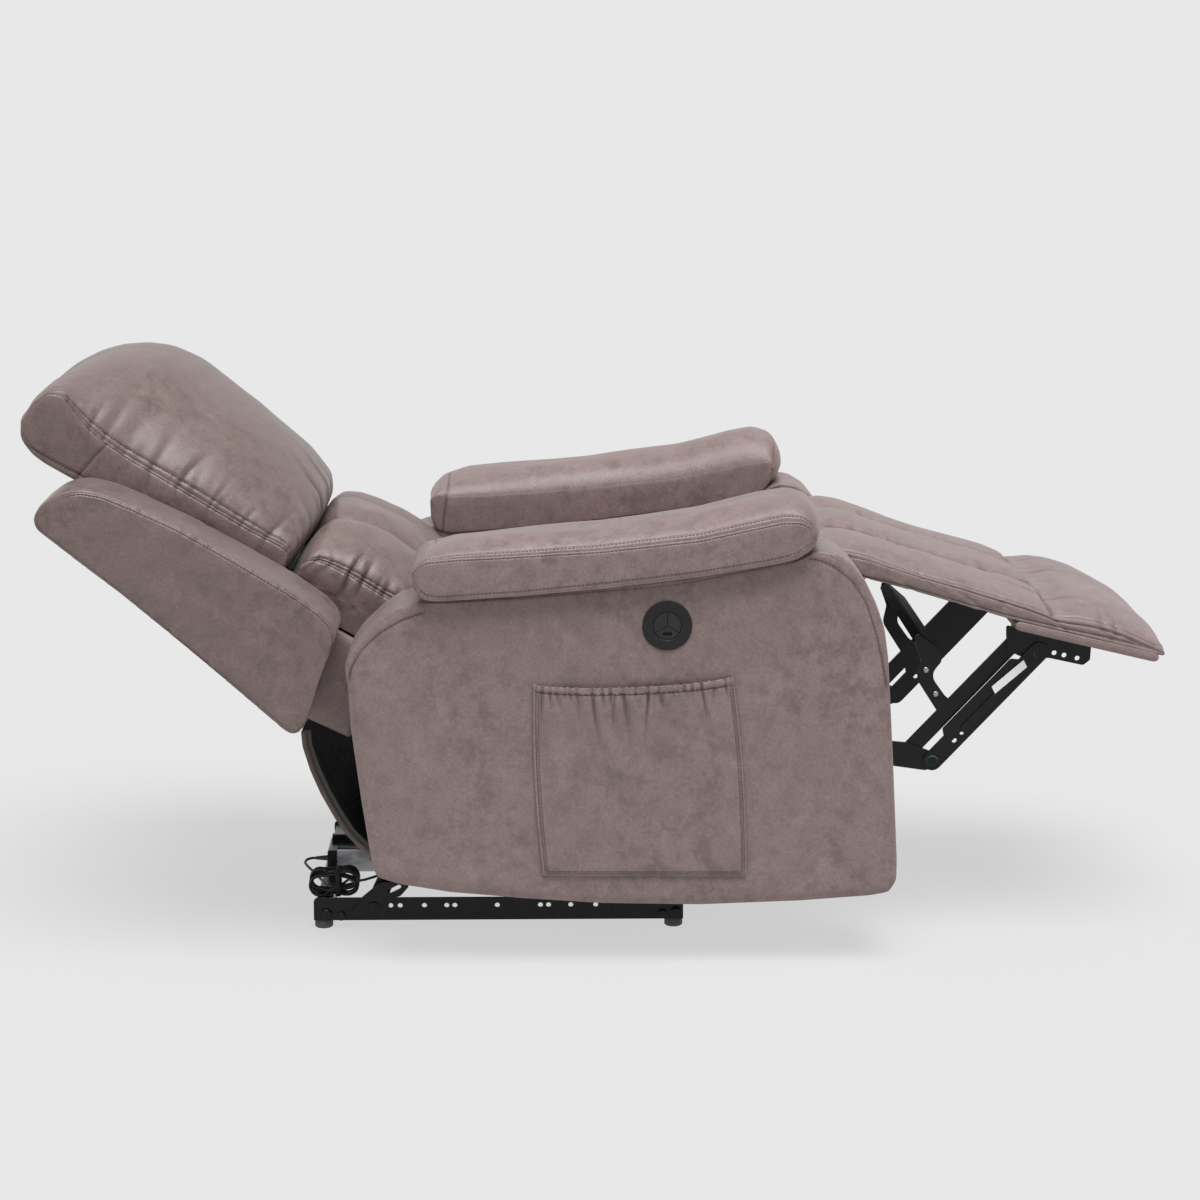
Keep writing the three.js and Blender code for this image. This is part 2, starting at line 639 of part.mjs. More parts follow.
function seatCushion() {
  const [hx, hz] = BACK_HINGE;
  const r = CUSHION_SWEEP_R;
  const under = SEAT_GAP;
  const topRear = 505;
  const rearEnd = [];
  for (let k = 0; k <= 6; k += 1) {
    const high = Math.asin((topRear - hz) / r);
    const low = Math.asin((DECK_REAR[1] + under - hz) / r);
    const a = high + ((low - high) * k) / 6;
    rearEnd.push([hx + r * Math.cos(a), hz + r * Math.sin(a), 0]);
  }
  const frontX = DECK_FRONT[0] + DECK_RAIL_T[1] + 2;
  const split = LEGREST_HINGE[0] - SEAT_GAP;
  const outline = [
    ...rearEnd,
    [DECK_REAR[0] + DECK_RAIL_T[0], DECK_REAR[1] + under, 0],
    [DECK_FRONT[0], DECK_FRONT[1] + under, 0],
    [frontX, DECK_FRONT[1] + under, 0],
    [frontX, 534, 0],
    [split, 515, 0],
    [split, 560, 1],
    [498, 570, 1], [465, 582, 1], [434, 588, 1], [400, 587, 1], [200, 549, 1], [rearEnd[0][0] + 56, 517, 1],
  ];
  piece(
    'seat_cushion',
    cushion((t) => outline.map(([x, z, w]) => [x, z - w * channelDrop(t, 19, 10)]), BODY_HALF, STATIONS),
    leather,
  );
}

/** Points along the footrest board, by distance along it and height above its top. */
function alongBoard(distance, height) {
  return add(BOARD_REAR, turn([distance, height], BOARD_SLOPE));
}

function legrest() {
  const [cx] = LEGREST_HINGE;
  const outline = [
    [cx + SEAT_GAP, 560, 1], [cx + SEAT_GAP, 515, 0], [668, 474.8, 0],
    [...alongBoard(4, SEAT_GAP), 0], [...alongBoard(BOARD_LENGTH - 6, SEAT_GAP), 0],
    [...alongBoard(BOARD_LENGTH + 14, 3), 0], [...alongBoard(BOARD_LENGTH + 6, 22), 0.4],
    [885, 454, 0.8], [841, 475, 1], [807, 486, 1], [775, 491, 1], [752, 486, 1], [740, 483, 1], [726, 499, 1],
    [642, 526, 1], [547, 554, 1],
  ];
  piece(
    'legrest_pad',
    cushion((t) => outline.map(([x, z, w]) => [x, z - w * channelDrop(t, 18, 7)]), BODY_HALF, STATIONS),
    leather,
  );

  const board = rounded([
    [...alongBoard(-8, -BOARD_T), BOARD_T / 2 - 1], [...alongBoard(BOARD_LENGTH, -BOARD_T), 5],
    [...alongBoard(BOARD_LENGTH, 0), 5], [...alongBoard(-8, 0), BOARD_T / 2 - 1],
  ], 4);
  piece('footrest_board', padded(board, -BODY_HALF, BODY_HALF, 3), leather);

  const under = -BOARD_T - SEAT_GAP;
  const plate = rounded([
    [...alongBoard(-12, under), 3], [...alongBoard(117, under)], [...alongBoard(121, under - 22), 6],
    [...alongBoard(113, under - 32), 5], [...alongBoard(60, under - 33), 20],
    [outerTop[0] - 14, outerTop[1] - 13, 8], [innerTop[0] - 11, innerTop[1] - 12, 10],
    [innerTop[0] - 13, innerTop[1] + 10, 6],
  ], 3);
  const boltHoles = [67, 82, 102].map((d) => hole(alongBoard(d, under - 24), RAIL_HOLE_R));
  const flange = rounded([
    alongBoard(0, under), alongBoard(116, under), alongBoard(116, under - 3), alongBoard(0, under - 3),
  ]);
  const middle = (laneIn(2) + laneOut(2)) / 2;
  for (const [sideName, side] of sides) {
    piece(
      `ottoman_bracket_${sideName}`,
      surface(joined(
        slab(plate, side * laneIn(2), side * laneOut(2), boltHoles),
        slab(flange, side * (laneOut(2) - RAIL_FLANGE), side * laneOut(2)),
        ...pivot(innerTop, side, middle, laneIn(1) - PLATE_GAP),
        ...pivot(outerTop, side, middle, laneOut(3) + PLATE_GAP),
      )),
      blackSteel,
    );
  }
}

// ---------------------------------------------------------------- legrest links

const TORQUE_TUBE_AT = [565, 422];
const TORQUE_TUBE_SIZE = [44, 16];
const TORQUE_TILT = THREE.MathUtils.degToRad(-41);

function legrestLinks() {
  const middle = (laneIn(2) + laneOut(2)) / 2;
  const [ax, az] = lowerPivot;
  const lower = rounded([
    [ax - LINK_HALF, az - 12, 10], [ax, az - 15, 6], [outerLow[0] - 8, outerLow[1] - 15, 12],
    [outerLow[0] + 13, outerLow[1] - 2, 11], [outerLow[0], outerLow[1] + 13, 10],
    [innerLow[0], innerLow[1] + 14, 10], [ax, az + 14, 12], [ax - LINK_HALF, az + 8, 8],
  ]);
  const share = (p, q, t) => [p[0] + (q[0] - p[0]) * t, p[1] + (q[1] - p[1]) * t];
  const armRoot = share(innerLow, innerTop, 0.38);
  const [tx, tz] = TORQUE_TUBE_AT;
  // The curved arm that is welded to the inner link and holds the torque tube's end.
  const arm = rounded([
    [armRoot[0] + 10, armRoot[1] + 8, 4], [armRoot[0] - 6, armRoot[1] + 22, 8], [tx + 4, tz - 42, 18],
    [tx + 20, tz - 22, 8], [tx + 19, tz - 6, 6], [tx - 17, tz + 22, 5], [tx - 20, tz + 8, 5],
    [tx - 10, tz - 20, 10], [tx - 16, tz - 48, 20], [tx - 2, tz - 70, 14],
    [armRoot[0] - 14, armRoot[1] - 6, 6],
  ], 4);
  for (const [sideName, side] of sides) {
    piece(
      `lower_link_${sideName}`,
      surface(joined(
        slab(lower, side * laneIn(2), side * laneOut(2)),
        ...pivot(lowerPivot, side, middle, laneIn(0) - PLATE_GAP),
        ...pivot(innerLow, side, middle, laneIn(1) - PLATE_GAP),
        ...pivot(outerLow, side, middle, laneOut(3) + PLATE_GAP),
      )),
      blackSteel,
    );
    piece(
      `inner_link_${sideName}`,
      surface(joined(
        slab(bar(innerLow, innerTop, LINK_HALF - 1), side * laneIn(1), side * laneOut(1), [
          pivotHole(innerLow), pivotHole(innerTop),
        ]),
        slab(arm, side * laneIn(1), side * laneOut(1)),
      )),
      blackSteel,
    );
    // The outer link widens towards the inner one and has a pressed rib along its middle.
    const slope = Math.atan2(LONG_LINK[1], LONG_LINK[0]);
    const web = rounded([[0.13, 0], [0.2, LINK_WEB], [0.84, LINK_WEB], [0.92, 0]].map(
      ([t, d]) => [...add(share(outerLow, outerTop, t), turn([0, d], slope)), 6],
    ));
    const rib = bar(share(outerLow, outerTop, 0.3), share(outerLow, outerTop, 0.84), 6, 5);
    const boltHoles = [[32, 31], [43, 43]].map((offset) => hole(add(outerLow, offset), RAIL_HOLE_R));
    piece(
      `outer_link_${sideName}`,
      surface(joined(
        slab(bar(outerLow, outerTop, LINK_HALF + 1), side * laneIn(3), side * laneOut(3), [
          pivotHole(outerLow), pivotHole(outerTop), ...boltHoles,
        ]),
        slab(web, side * laneIn(3), side * laneOut(3)),
        slab(rib, side * (laneOut(3) - 1), side * (laneOut(3) + 3)),
      )),
      blackSteel,
    );
  }
  const [length, thick] = TORQUE_TUBE_SIZE;
  const corners = [[-1, -1], [1, -1], [1, 1], [-1, 1]].map(([u, v]) => [
    ...add(TORQUE_TUBE_AT, turn([(u * length) / 2, (v * thick) / 2], TORQUE_TILT)), 3,
  ]);
  const half = laneIn(1) - SEAT_GAP;
  piece('torque_tube', slab(rounded(corners, 3), -half, half), blackSteel);
}

// ---------------------------------------------------------------- arms

/** Side outline of an arm, without the top that the pad covers. */
function armOutline() {
  const shape = new THREE.Shape();
  shape.moveTo(-239, 128);
  shape.lineTo(-133, 106);
  shape.lineTo(80, 88);
  shape.lineTo(222, 86);
  shape.lineTo(478, 100);
  shape.quadraticCurveTo(500, 102, 502, 124);
  shape.lineTo(488, 400);
  shape.bezierCurveTo(484, 470, 470, 600, 386, PAD_FRONT[1] - SEAT_GAP);
  [...PAD_UNDER].reverse().forEach(([x, z]) => shape.lineTo(x, z - SEAT_GAP));
  shape.bezierCurveTo(-225, 508, -279, 470, -279, 420);
  shape.lineTo(-271, 372);
  return shape.getPoints(7).slice(0, -1);
}
const PAD_FRONT = [377, 597];
const PAD_UNDER = [[-172, 527.5], [-143, 528], [-30, 535], [79, 546], [218, 562], [320, 578], [357, 586], PAD_FRONT];

function arms() {
  const bodyHole = CONTROL_BODY_R + SEAT_GAP;
  for (const [sideName, side] of sides) {
    let arm = solid(padded(armOutline(), side * ARM_INNER, side * ARM_OUTER, 6));
    if (side < 0) {
      arm = arm.subtract(solid(pin(
        CONTROL_CENTRE,
        bodyHole,
        -ARM_OUTER + CONTROL_DEPTH + SEAT_GAP,
        -ARM_OUTER - 1,
        32,
      )));
    }
    piece(`arm_panel_${sideName}`, surface(arm), leather);

    const padOutline = [
      ...PAD_UNDER.map(([x, z]) => new THREE.Vector2(x, z)),
      ...[[386, 622], [381, 650], [362, 670], [330, 672], [222, 648], [81, 627], [-60, 616], [-123, 610],
        [-160, 597], [-180, 572], [-181, 545]].map(([x, z]) => new THREE.Vector2(x, z)),
    ];
    piece(
      `arm_pad_${sideName}`,
      padded(padOutline, side * (ARM_INNER - ARM_PAD_INSET), side * (ARM_OUTER + ARM_PAD_OVERHANG), 22, 3),
      leather,
    );
  }
}

function sidePocket() {
  const face = -ARM_OUTER - SEAT_GAP;
  const front = face - POCKET_STAND;
  const [tl, tr, br, bl] = [[-14, 407], [266, 415], [288, 129], [-1, 131]];
  const outer = rounded([bl.concat(10), br.concat(10), tr, tl]);
  const b = POCKET_BORDER;
  const inner = rounded([
    [bl[0] + b, bl[1] + b, 6], [br[0] - b, br[1] + b, 6], [tr[0] - b, tr[1] + 20], [tl[0] + b, tl[1] + 20],
  ]);
  const pouch = solid(slab(outer, front, face)).subtract(
    solid(slab(inner, front + POCKET_SHEET, face + 1)),
  );
  piece('side_pocket', surface(pouch), leather);
}

// ---------------------------------------------------------------- control

/** Outline of one third of the keypad disc, between the angles from and to. */
function sector(from, to) {
  const r = CONTROL_WELL_R - KEY_GAP;
  const middle = (from + to) / 2;
  const inset = KEY_GAP / 2 / Math.sin((to - from) / 2);
  const [cx, cz] = add(CONTROL_CENTRE, [inset * Math.cos(middle), inset * Math.sin(middle)]);
  const edge = Math.asin(KEY_GAP / 2 / r);
  const points = [new THREE.Vector2(cx, cz)];
  for (let k = 0; k <= 10; k += 1) {
    const a = from + edge + ((to - from - 2 * edge) * k) / 10;
    points.push(new THREE.Vector2(
      CONTROL_CENTRE[0] + r * Math.cos(a),
      CONTROL_CENTRE[1] + r * Math.sin(a),
    ));
  }
  return points;
}

function control() {
  const face = -ARM_OUTER - SEAT_GAP;
  const flangeOut = CONTROL_FLANGE;
  const profile = [
    [0, -CONTROL_DEPTH + 1], [CONTROL_BODY_R, -CONTROL_DEPTH + 1], [CONTROL_BODY_R, 0], [CONTROL_R, 0],
    [CONTROL_R, flangeOut - 1.2], [CONTROL_R - 3, flangeOut], [CONTROL_WELL_R + 2, flangeOut],
    [CONTROL_WELL_R, flangeOut - 1], [CONTROL_WELL_R, flangeOut - CONTROL_WELL_DEPTH],
    [0, flangeOut - CONTROL_WELL_DEPTH],
  ].map(([r, h]) => new THREE.Vector2(r, h));
  const housing = new THREE.LatheGeometry(profile, 40);
  // The lathe's axis is turned to point outwards, to -Y.
  housing.rotateX(Math.PI).translate(CONTROL_CENTRE[0], face, CONTROL_CENTRE[1]);
  piece('control_housing', housing, blackPlastic);

  const keyFace = face - flangeOut + KEY_STAND;
  const floor = face - flangeOut + CONTROL_WELL_DEPTH;
  const third = (Math.PI * 2) / 3;
  const keyBack = floor - SEAT_GAP - BUTTON_TRAVEL;
  piece('button_recline', slab(sector(-Math.PI / 6, Math.PI / 2), keyFace, keyBack), greyPlastic);
  piece('button_return', slab(sector(Math.PI / 2, Math.PI / 2 + third), keyFace, keyBack), greyPlastic);

  const [w, h] = USB_SLOT;
  const slotZ = CONTROL_CENTRE[1] - CONTROL_WELL_R * 0.55;
  const socket = solid(slab(sector(Math.PI / 2 + third, Math.PI / 2 + 2 * third), keyFace, floor - SEAT_GAP));
  const slotBox = block(
    [CONTROL_CENTRE[0] - w / 2, keyFace - 1, slotZ - h / 2],
    [CONTROL_CENTRE[0] + w / 2, keyFace + USB_DEPTH - 2, slotZ + h / 2],
  );
  piece('usb_socket', surface(socket.subtract(solid(slotBox))), greyPlastic);
}

// ---------------------------------------------------------------- rear curtain

function rearCurtain() {
  // Its foot is fixed along the rear face of the stretcher.
  const foot = stretcherRear - SEAT_GAP - CURTAIN_T;
  const outer = [[-352, 309], [-350, 286], [-339, 250], [-324, 214], [-306, 180], [-288, 152], [-271, 134],
    [foot, 122], [foot, 113]];
  const line = outer.map((p) => new THREE.Vector2(...p));
  const inner = line.map((p, i) => {
    const along = line[Math.min(i + 1, line.length - 1)].clone().sub(line[Math.max(i - 1, 0)]).normalize();
    return new THREE.Vector2(p.x - along.y * CURTAIN_T, p.y + along.x * CURTAIN_T);
  });
  piece('rear_curtain', slab([...line, ...inner.reverse()], -BODY_HALF + 2, BODY_HALF - 2), lining);
}

// ---------------------------------------------------------------- back

// The back is drawn upright about its hinge, [forwards, upwards], and leans back as a group.
function back() {
  const group = new THREE.Group();
  group.position.set(BACK_HINGE[0], 0, BACK_HINGE[1]);
  group.rotation.y = -BACK_LEAN;
  chair.add(group);

  const front = BACK_FRAME_DEPTH;
  const low = 112;
  const high = 645;
  const panelLow = [-124, 181];
  const panelHigh = [-27, high];
  const inset = BACK_PANEL_T + SEAT_GAP;
  piece('back_frame', padded(rounded([
    [panelLow[0] + 18, low, 8], [front, low, 8], [front, high, 10], [panelHigh[0] + inset, high, 6],
    [panelLow[0] + inset, panelLow[1], 10],
  ]), -BODY_HALF, BODY_HALF, 4), leather, group);

  piece('back_panel', padded(rounded([
    [...panelLow, 1], [panelLow[0] + BACK_PANEL_T, panelLow[1], 1],
    [panelHigh[0] + BACK_PANEL_T, panelHigh[1], 1], [...panelHigh, 1],
  ], 2), -BODY_HALF, BODY_HALF, 1), leather, group);

  const wing = rounded([
    [-104, 191, 15], [-66, 197], [-40, 203], [-1, 211], [38, 209], [70, 213, 15],
    [84, 248, 20], [82, 305], [78, 445], [76, 600, 34], [58, 650, 24], [10, 656], [-24, 656, 14],
  ], 4);
  for (const [sideName, side] of sides) {
    piece(
      `wing_${sideName}`,
      padded(wing, side * (BODY_HALF + SEAT_GAP), side * (ARM_OUTER - 11), 12, 3),
      leather,
      group,
    );
  }

  // Each cushion's outline carries a share that says how far its crest sinks at the sides.
  const pad = (name, outline, edge, channel) => piece(
    name,
    cushion(
      (t) => outline.map(([f, up, w]) => [f - w * channelDrop(t, edge, channel), up]),
      BODY_HALF - 2,
      STATIONS,
    ),
    leather,
    group,
  );
  const rear = front + SEAT_GAP;
  pad('head_pillow', [
    [rear, 316, 0], [100, 311, 0.3], [148, 309, 0.6], [176, 324, 0.85], [200, 372, 1], [226, 474, 1],
    [237, 583, 1], [222, 655, 0.95], [203, 690, 0.8], [170, 720, 0.5], [130, 738, 0.3], [95, 744, 0.1],
    [66, 728, 0], [48, 710, 0], [rear, 678, 0],
  ], 112, 0);
  pad('lumbar_pad', [
    [rear, 116, 0], [70, 96, 0], [130, 54, 0], [168, 10, 0], [184, 14, 0], [170, 56, 0], [148, 98, 0],
    [130, 132, 0.2], [152, 170, 0.8], [164, 214, 1], [165, 250, 1], [153, 288, 0.9], [132, 303, 0.5],
    [96, 308, 0], [rear, 306, 0],
  ], 58, 14);

  // Bolted bracket from the frame's underside down to the hinge, in the swing links' lane.
  const bracket = rounded([
    [-14, -4, 12], [0, -14, 12], [14, -4, 12], [16, 60], [24, low - SEAT_GAP], [-70, low - SEAT_GAP],
    [-66, low - 24, 8], [-20, 50, 30],
  ]);
  const foot = rounded([
    [-70, low - SEAT_GAP - PLATE], [24, low - SEAT_GAP - PLATE], [24, low - SEAT_GAP], [-70, low - SEAT_GAP],
  ]);
  for (const [sideName, side] of sides) {
    const middle = (laneIn(1) + laneOut(1)) / 2;
    piece(
      `back_bracket_${sideName}`,
      surface(joined(
        slab(bracket, side * laneIn(1), side * laneOut(1)),
        slab(foot, side * (laneOut(1) - RAIL_FLANGE), side * laneOut(1)),
        ...pivot([0, 0], side, middle, laneIn(0) - PLATE_GAP),
      )),
      blackSteel,
      group,
    );
  }
}

// ---------------------------------------------------------------- assembly

baseRails();
crossTube('rear_cross_tube', RAIL_REAR_X + CROSS_TUBE_INSET);
crossTube('front_cross_tube', RAIL_REAR_X + RAIL_LENGTH - CROSS_TUBE_INSET - CROSS_TUBE);
rearGussets();
swingLinks();
actuator();
controlLead();
seatPlates();
seatFrame();
seatSprings();
seatCushion();
legrest();
legrestLinks();
arms();
sidePocket();
control();
rearCurtain();
back();

// The origin goes to the middle of the footprint.
chair.updateMatrixWorld(true);
const extent = new THREE.Box3().setFromObject(chair, true);
chair.position.x = -(extent.min.x + extent.max.x) / 2;
chair.updateMatrixWorld(true);

export default chair;
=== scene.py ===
"""Dressed power recliner: soft goods, finishes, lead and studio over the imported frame.

Side-view sizes are in millimetres in the chair's layout plane: x forwards, z up from the floor.
The back's own sizes are (f, up): forwards and upwards about its hinge with the back upright.
"""

from __future__ import annotations

import logging
import math
from dataclasses import dataclass, field
from enum import Enum
from typing import Callable, Sequence

import bpy
import numpy as np
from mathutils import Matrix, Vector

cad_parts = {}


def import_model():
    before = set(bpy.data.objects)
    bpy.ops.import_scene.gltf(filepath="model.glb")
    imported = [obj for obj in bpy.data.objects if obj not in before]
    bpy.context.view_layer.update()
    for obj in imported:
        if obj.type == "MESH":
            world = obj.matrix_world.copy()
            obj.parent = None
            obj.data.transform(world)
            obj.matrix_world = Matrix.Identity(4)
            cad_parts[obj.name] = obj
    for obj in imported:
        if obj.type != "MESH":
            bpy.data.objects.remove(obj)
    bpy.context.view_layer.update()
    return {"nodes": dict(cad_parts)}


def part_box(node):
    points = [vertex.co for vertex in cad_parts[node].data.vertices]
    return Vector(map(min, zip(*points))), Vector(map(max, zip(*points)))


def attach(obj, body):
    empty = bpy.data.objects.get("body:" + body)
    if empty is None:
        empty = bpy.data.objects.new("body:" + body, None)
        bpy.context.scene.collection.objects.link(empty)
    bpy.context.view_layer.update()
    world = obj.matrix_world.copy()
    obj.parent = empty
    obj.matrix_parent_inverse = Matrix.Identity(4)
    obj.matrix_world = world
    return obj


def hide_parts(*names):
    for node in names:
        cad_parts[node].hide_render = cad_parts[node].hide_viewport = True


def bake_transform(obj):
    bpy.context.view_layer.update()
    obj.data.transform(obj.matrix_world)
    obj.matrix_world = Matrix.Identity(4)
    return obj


Array = np.ndarray
Pairs = Sequence[Sequence[float]]
Rgb = tuple[float, float, float]
Run = tuple[Array, Array]  # points and normals
Socket = bpy.types.NodeSocket
LOG = logging.getLogger("recliner")

HINGE = (-130.0, 330.0)  # the back's hinge, layout (x, z)
BACK_LEAN = math.radians(60)  # the back's lean at rest
RAIL_REAR = -341.0  # layout x of the base rails' rear ends
HALF = 272.0  # half width of the body between the arms
ARM_IN = 275.0  # |y| of an arm's inner face
ARM_OUT = 420.0  # |y| of an arm's outer face
CREASE_DEPTH = 1.1  # how far below its surroundings a valley counts as a full crease, in mm
PANEL_EASE = 26.0  # how far inside its seam a side panel stands out in full, in mm
ROLL_EASE = 0.12  # share of the half width over which a rolled seam is softened
STITCH = 3.6  # length of a stitch, in mm
THREAD_RADIUS = 0.42  # in mm
THREAD_LIFT = 0.25  # how far stitches lie above the skin, in mm


class Side(Enum):
    """Which side of the chair a piece is on, as the sign of its Y."""

    RIGHT = -1
    LEFT = 1

    @property
    def tag(self) -> str:
        """The side as piece names hold it."""
        return self.name.lower()

    def span(self, near: float, far: float) -> tuple[float, float]:
        """Lowest and highest y between two distances from the chair's middle."""
        low, high = sorted((self.value * near, self.value * far))
        return low, high


# ---------------------------------------------------------------- places


@dataclass
class Layout:
    """Turns layout millimetres into row-frame metres.

    Args:
        shift: what is added to a layout x, in metres, so that it is a row x.
    """

    shift: float

    @classmethod
    def from_frame(cls) -> Layout:
        """Reads the shift from the base rail's rear end."""
        return cls(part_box("base_rail_right")[0].x - RAIL_REAR / 1000)

    def row(self, x: Array, y: Array, z: Array) -> Array:
        """Row-frame points of layout x, y and z arrays in millimetres."""
        x, y, z = np.broadcast_arrays(x, y, z)
        return np.stack([x / 1000 + self.shift, y / 1000, z / 1000], axis=-1)

    def points(self, points: Pairs) -> Array:
        """Row-frame points of a list of (x, y, z) in millimetres."""
        a = np.asarray(points, float)
        return self.row(a[:, 0], a[:, 1], a[:, 2])


def lean_back(local: Array) -> Array:
    """Layout points of the back's own points: a turn by the back's lean about its hinge.

    Args:
        local: (f, up) along the last axis.

    Returns:
        (x, z) along the last axis.
    """
    f, up = local[..., 0], local[..., 1]
    c, s = math.cos(BACK_LEAN), math.sin(BACK_LEAN)
    return np.stack([HINGE[0] + f * c - up * s, HINGE[1] + f * s + up * c], axis=-1)


# ---------------------------------------------------------------- curves and noise


def soften(values: Array, reach: float, closed: bool) -> Array:
    """Moving average with a bell-shaped window along the first axis.

    Args:
        values: samples along a line.
        reach: the window's spread, in samples.
        closed: whether the last sample runs on into the first.

    Returns:
        As many softened samples.
    """
    if reach < 0.3:
        return values
    n = int(3 * reach) + 1
    k = np.arange(-n, n + 1)
    w = np.exp(-0.5 * (k / reach) ** 2)
    w /= w.sum()
    if closed:
        return sum(wi * np.roll(values, -ki, axis=0) for wi, ki in zip(w, k))
    padded = np.concatenate([np.repeat(values[:1], n, 0), values, np.repeat(values[-1:], n, 0)])
    return sum(wi * padded[n + ki : n + ki + len(values)] for wi, ki in zip(w, k))


def open_curve(points: Pairs, count: int, reach: float = 0.0) -> Array:
    """Evenly spaced points along an open line of any dimension.

    Args:
        points: corners of the line.
        count: how many points to lay out.
        reach: how far corners are softened, in samples.

    Returns:
        The points, one to a row.
    """
    a = np.asarray(points, float)
    s = np.concatenate([[0], np.cumsum(np.linalg.norm(np.diff(a, axis=0), axis=1))])
    t = np.linspace(0, s[-1], count)
    out = np.stack([np.interp(t, s, a[:, i]) for i in range(a.shape[1])], axis=1)
    return soften(out, reach, False)


def ripple(s: Array, wave: float, seed: int) -> Array:
    """Smooth pseudo-random line: four sines near one wavelength.

    Args:
        s: position along the line.
        wave: the main wavelength, in the same unit.
        seed: picks the phases.

    Returns:
        A height of about -1 to 1 at each position.
    """
    rng = np.random.default_rng(seed)
    waves = wave * rng.uniform(0.6, 1.9, 4)
    phases = rng.uniform(0, 2 * math.pi, 4)
    return sum(np.sin(2 * math.pi * s / w + p) for w, p in zip(waves, phases)) / 2.4


def lumps(p: Array, size: float, seed: int) -> Array:
    """Smooth pseudo-random field: a sum of sines along six seeded directions.

    Args:
        p: points.
        size: the main wavelength, in the points' unit.
        seed: picks directions, wavelengths and phases.

    Returns:
        A height of about -1 to 1 at each point.
    """
    rng = np.random.default_rng(seed)
    total = np.zeros(p.shape[:-1])
    for _ in range(6):
        d = rng.normal(size=3)
        d /= np.linalg.norm(d)
        total = total + np.sin(p @ d * (2 * math.pi / size / rng.uniform(0.7, 1.6)) + rng.uniform(0, 6.3))
    return total / 3


def line_distance(p: Array, line: Array) -> Array:
    """Distance from points to an open 2-D line: the least distance to any of its stretches.

    Args:
        p: (x, z) along the last axis.
        line: points of the line.

    Returns:
        The distance of each point.
    """
    a = line[:-1]
    ab = line[1:] - a
    t = np.clip(((p[..., None, :] - a) * ab).sum(-1) / np.maximum((ab**2).sum(-1), 1e-9), 0, 1)
    near = a + t[..., None] * ab
    return np.linalg.norm(p[..., None, :] - near, axis=-1).min(-1)


# ---------------------------------------------------------------- relief


def groove(distance: Array, width: float, depth: float) -> Array:
    """A rounded valley of a given depth and width along a line at distance 0."""
    return -depth * np.exp(-((distance / width) ** 2))


def twin(distance: Array) -> Array:
    """A seam at distance 0 with a sewn row 3 mm beside it."""
    return groove(distance, 1.0, 1.1) + groove(distance - 3.0, 1.2, 1.3)


def sausage(v: Array, joints: Sequence[float], depth: float) -> Array:
    """Drop of stuffed channels from their crowns to the sewn lines between them.

    Each channel is depth times the root of 1 - 0.97 |u|^2.4 less 1, with u from -1 to 1 across it.

    Args:
        v: share of the half width.
        joints: where the sewn lines and the ends are, rising.
        depth: of the sewn lines, in mm.

    Returns:
        The height in mm, 0 on the crowns.
    """
    edges = np.asarray(joints, float)
    k = np.clip(np.searchsorted(edges, v, side="right") - 1, 0, len(edges) - 2)
    u = np.clip(2 * (v - edges[k]) / (edges[k + 1] - edges[k]) - 1, -1, 1)
    return depth * (np.sqrt(np.clip(1 - 0.97 * np.abs(u) ** 2.4, 0, 1)) - 1)


@dataclass(frozen=True)
class Gathers:
    """Gathers below a drawn edge: valleys that bend, widen and die away.

    Args:
        count: how many valleys.
        deep: depth of the deepest, in mm.
        reach: shortest and longest reach, in mm.
        wide: narrowest and widest half width at the edge, in mm.
        seed: picks places, depths and reaches.
    """

    count: int
    deep: float
    reach: tuple[float, float]
    wide: tuple[float, float]
    seed: int

    def relief(self, at: Array, down: Array, span: float) -> Array:
        """A sum of bell-shaped valleys, each with a low ridge along one side.

        Args:
            at: position along the edge, in mm.
            down: distance from the edge, in mm.
            span: length of the edge, in mm.

        Returns:
            The height in mm.
        """
        rng = np.random.default_rng(self.seed)
        total = np.zeros(np.broadcast(at, down).shape)
        least, most = self.reach
        thin, broad = self.wide
        for k in range(self.count):
            place = (k + 0.5 + rng.uniform(-0.45, 0.45)) / self.count * span
            pick = rng.uniform() ** 1.8
            reach = least * (most / least) ** pick
            slant = rng.uniform(-0.3, 0.3) * (1 - 0.6 * pick)
            bend = rng.uniform(-0.1, 0.1)
            width = thin + (broad - thin) * rng.uniform() * (0.3 + 0.7 * pick)
            width = width * (1 + 0.8 * down / reach)
            depth = self.deep * (0.35 + 0.65 * pick) * np.exp(-((down / reach) ** 1.6))
            off = (at - place - slant * down - bend * down**2 / reach) / width
            total = total - depth * np.exp(-(off**2)) + 0.5 * depth * np.exp(-(((off - 1.8) / 1.3) ** 2))
        return total


def creases(height: Array, reach: float, closed: bool) -> Array:
    """How far a relief lies below its softened surroundings.

    Args:
        height: relief in mm over a grid.
        reach: spread of the softening, in points.
        closed: whether the grid's rows run round.

    Returns:
        1 at the foot of a narrow valley, -1 on a sharp ridge.
    """
    smooth = soften(soften(height, reach, False).T, reach, closed).T
    return np.clip((smooth - height) / CREASE_DEPTH, -1, 1)


# ---------------------------------------------------------------- meshes


def make_object(name: str, verts: Array, faces: Array, smooth: bool = True) -> bpy.types.Object:
    """A mesh object at the origin.

    Args:
        name: the piece's name.
        verts: row-frame points.
        faces: four point numbers to a row; -1 fills a triangle's fourth place.
        smooth: whether it is shaded smooth.

    Returns:
        The object, linked to the scene.
    """
    mesh = bpy.data.meshes.new(name)
    rows = [[i for i in face if i >= 0] for face in faces.tolist()]
    mesh.from_pydata(verts.reshape(-1, 3).tolist(), [], rows)
    mesh.update()
    mesh.polygons.foreach_set("use_smooth", np.full(len(mesh.polygons), smooth))
    obj = bpy.data.objects.new(name, mesh)
    bpy.context.scene.collection.objects.link(obj)
    return obj


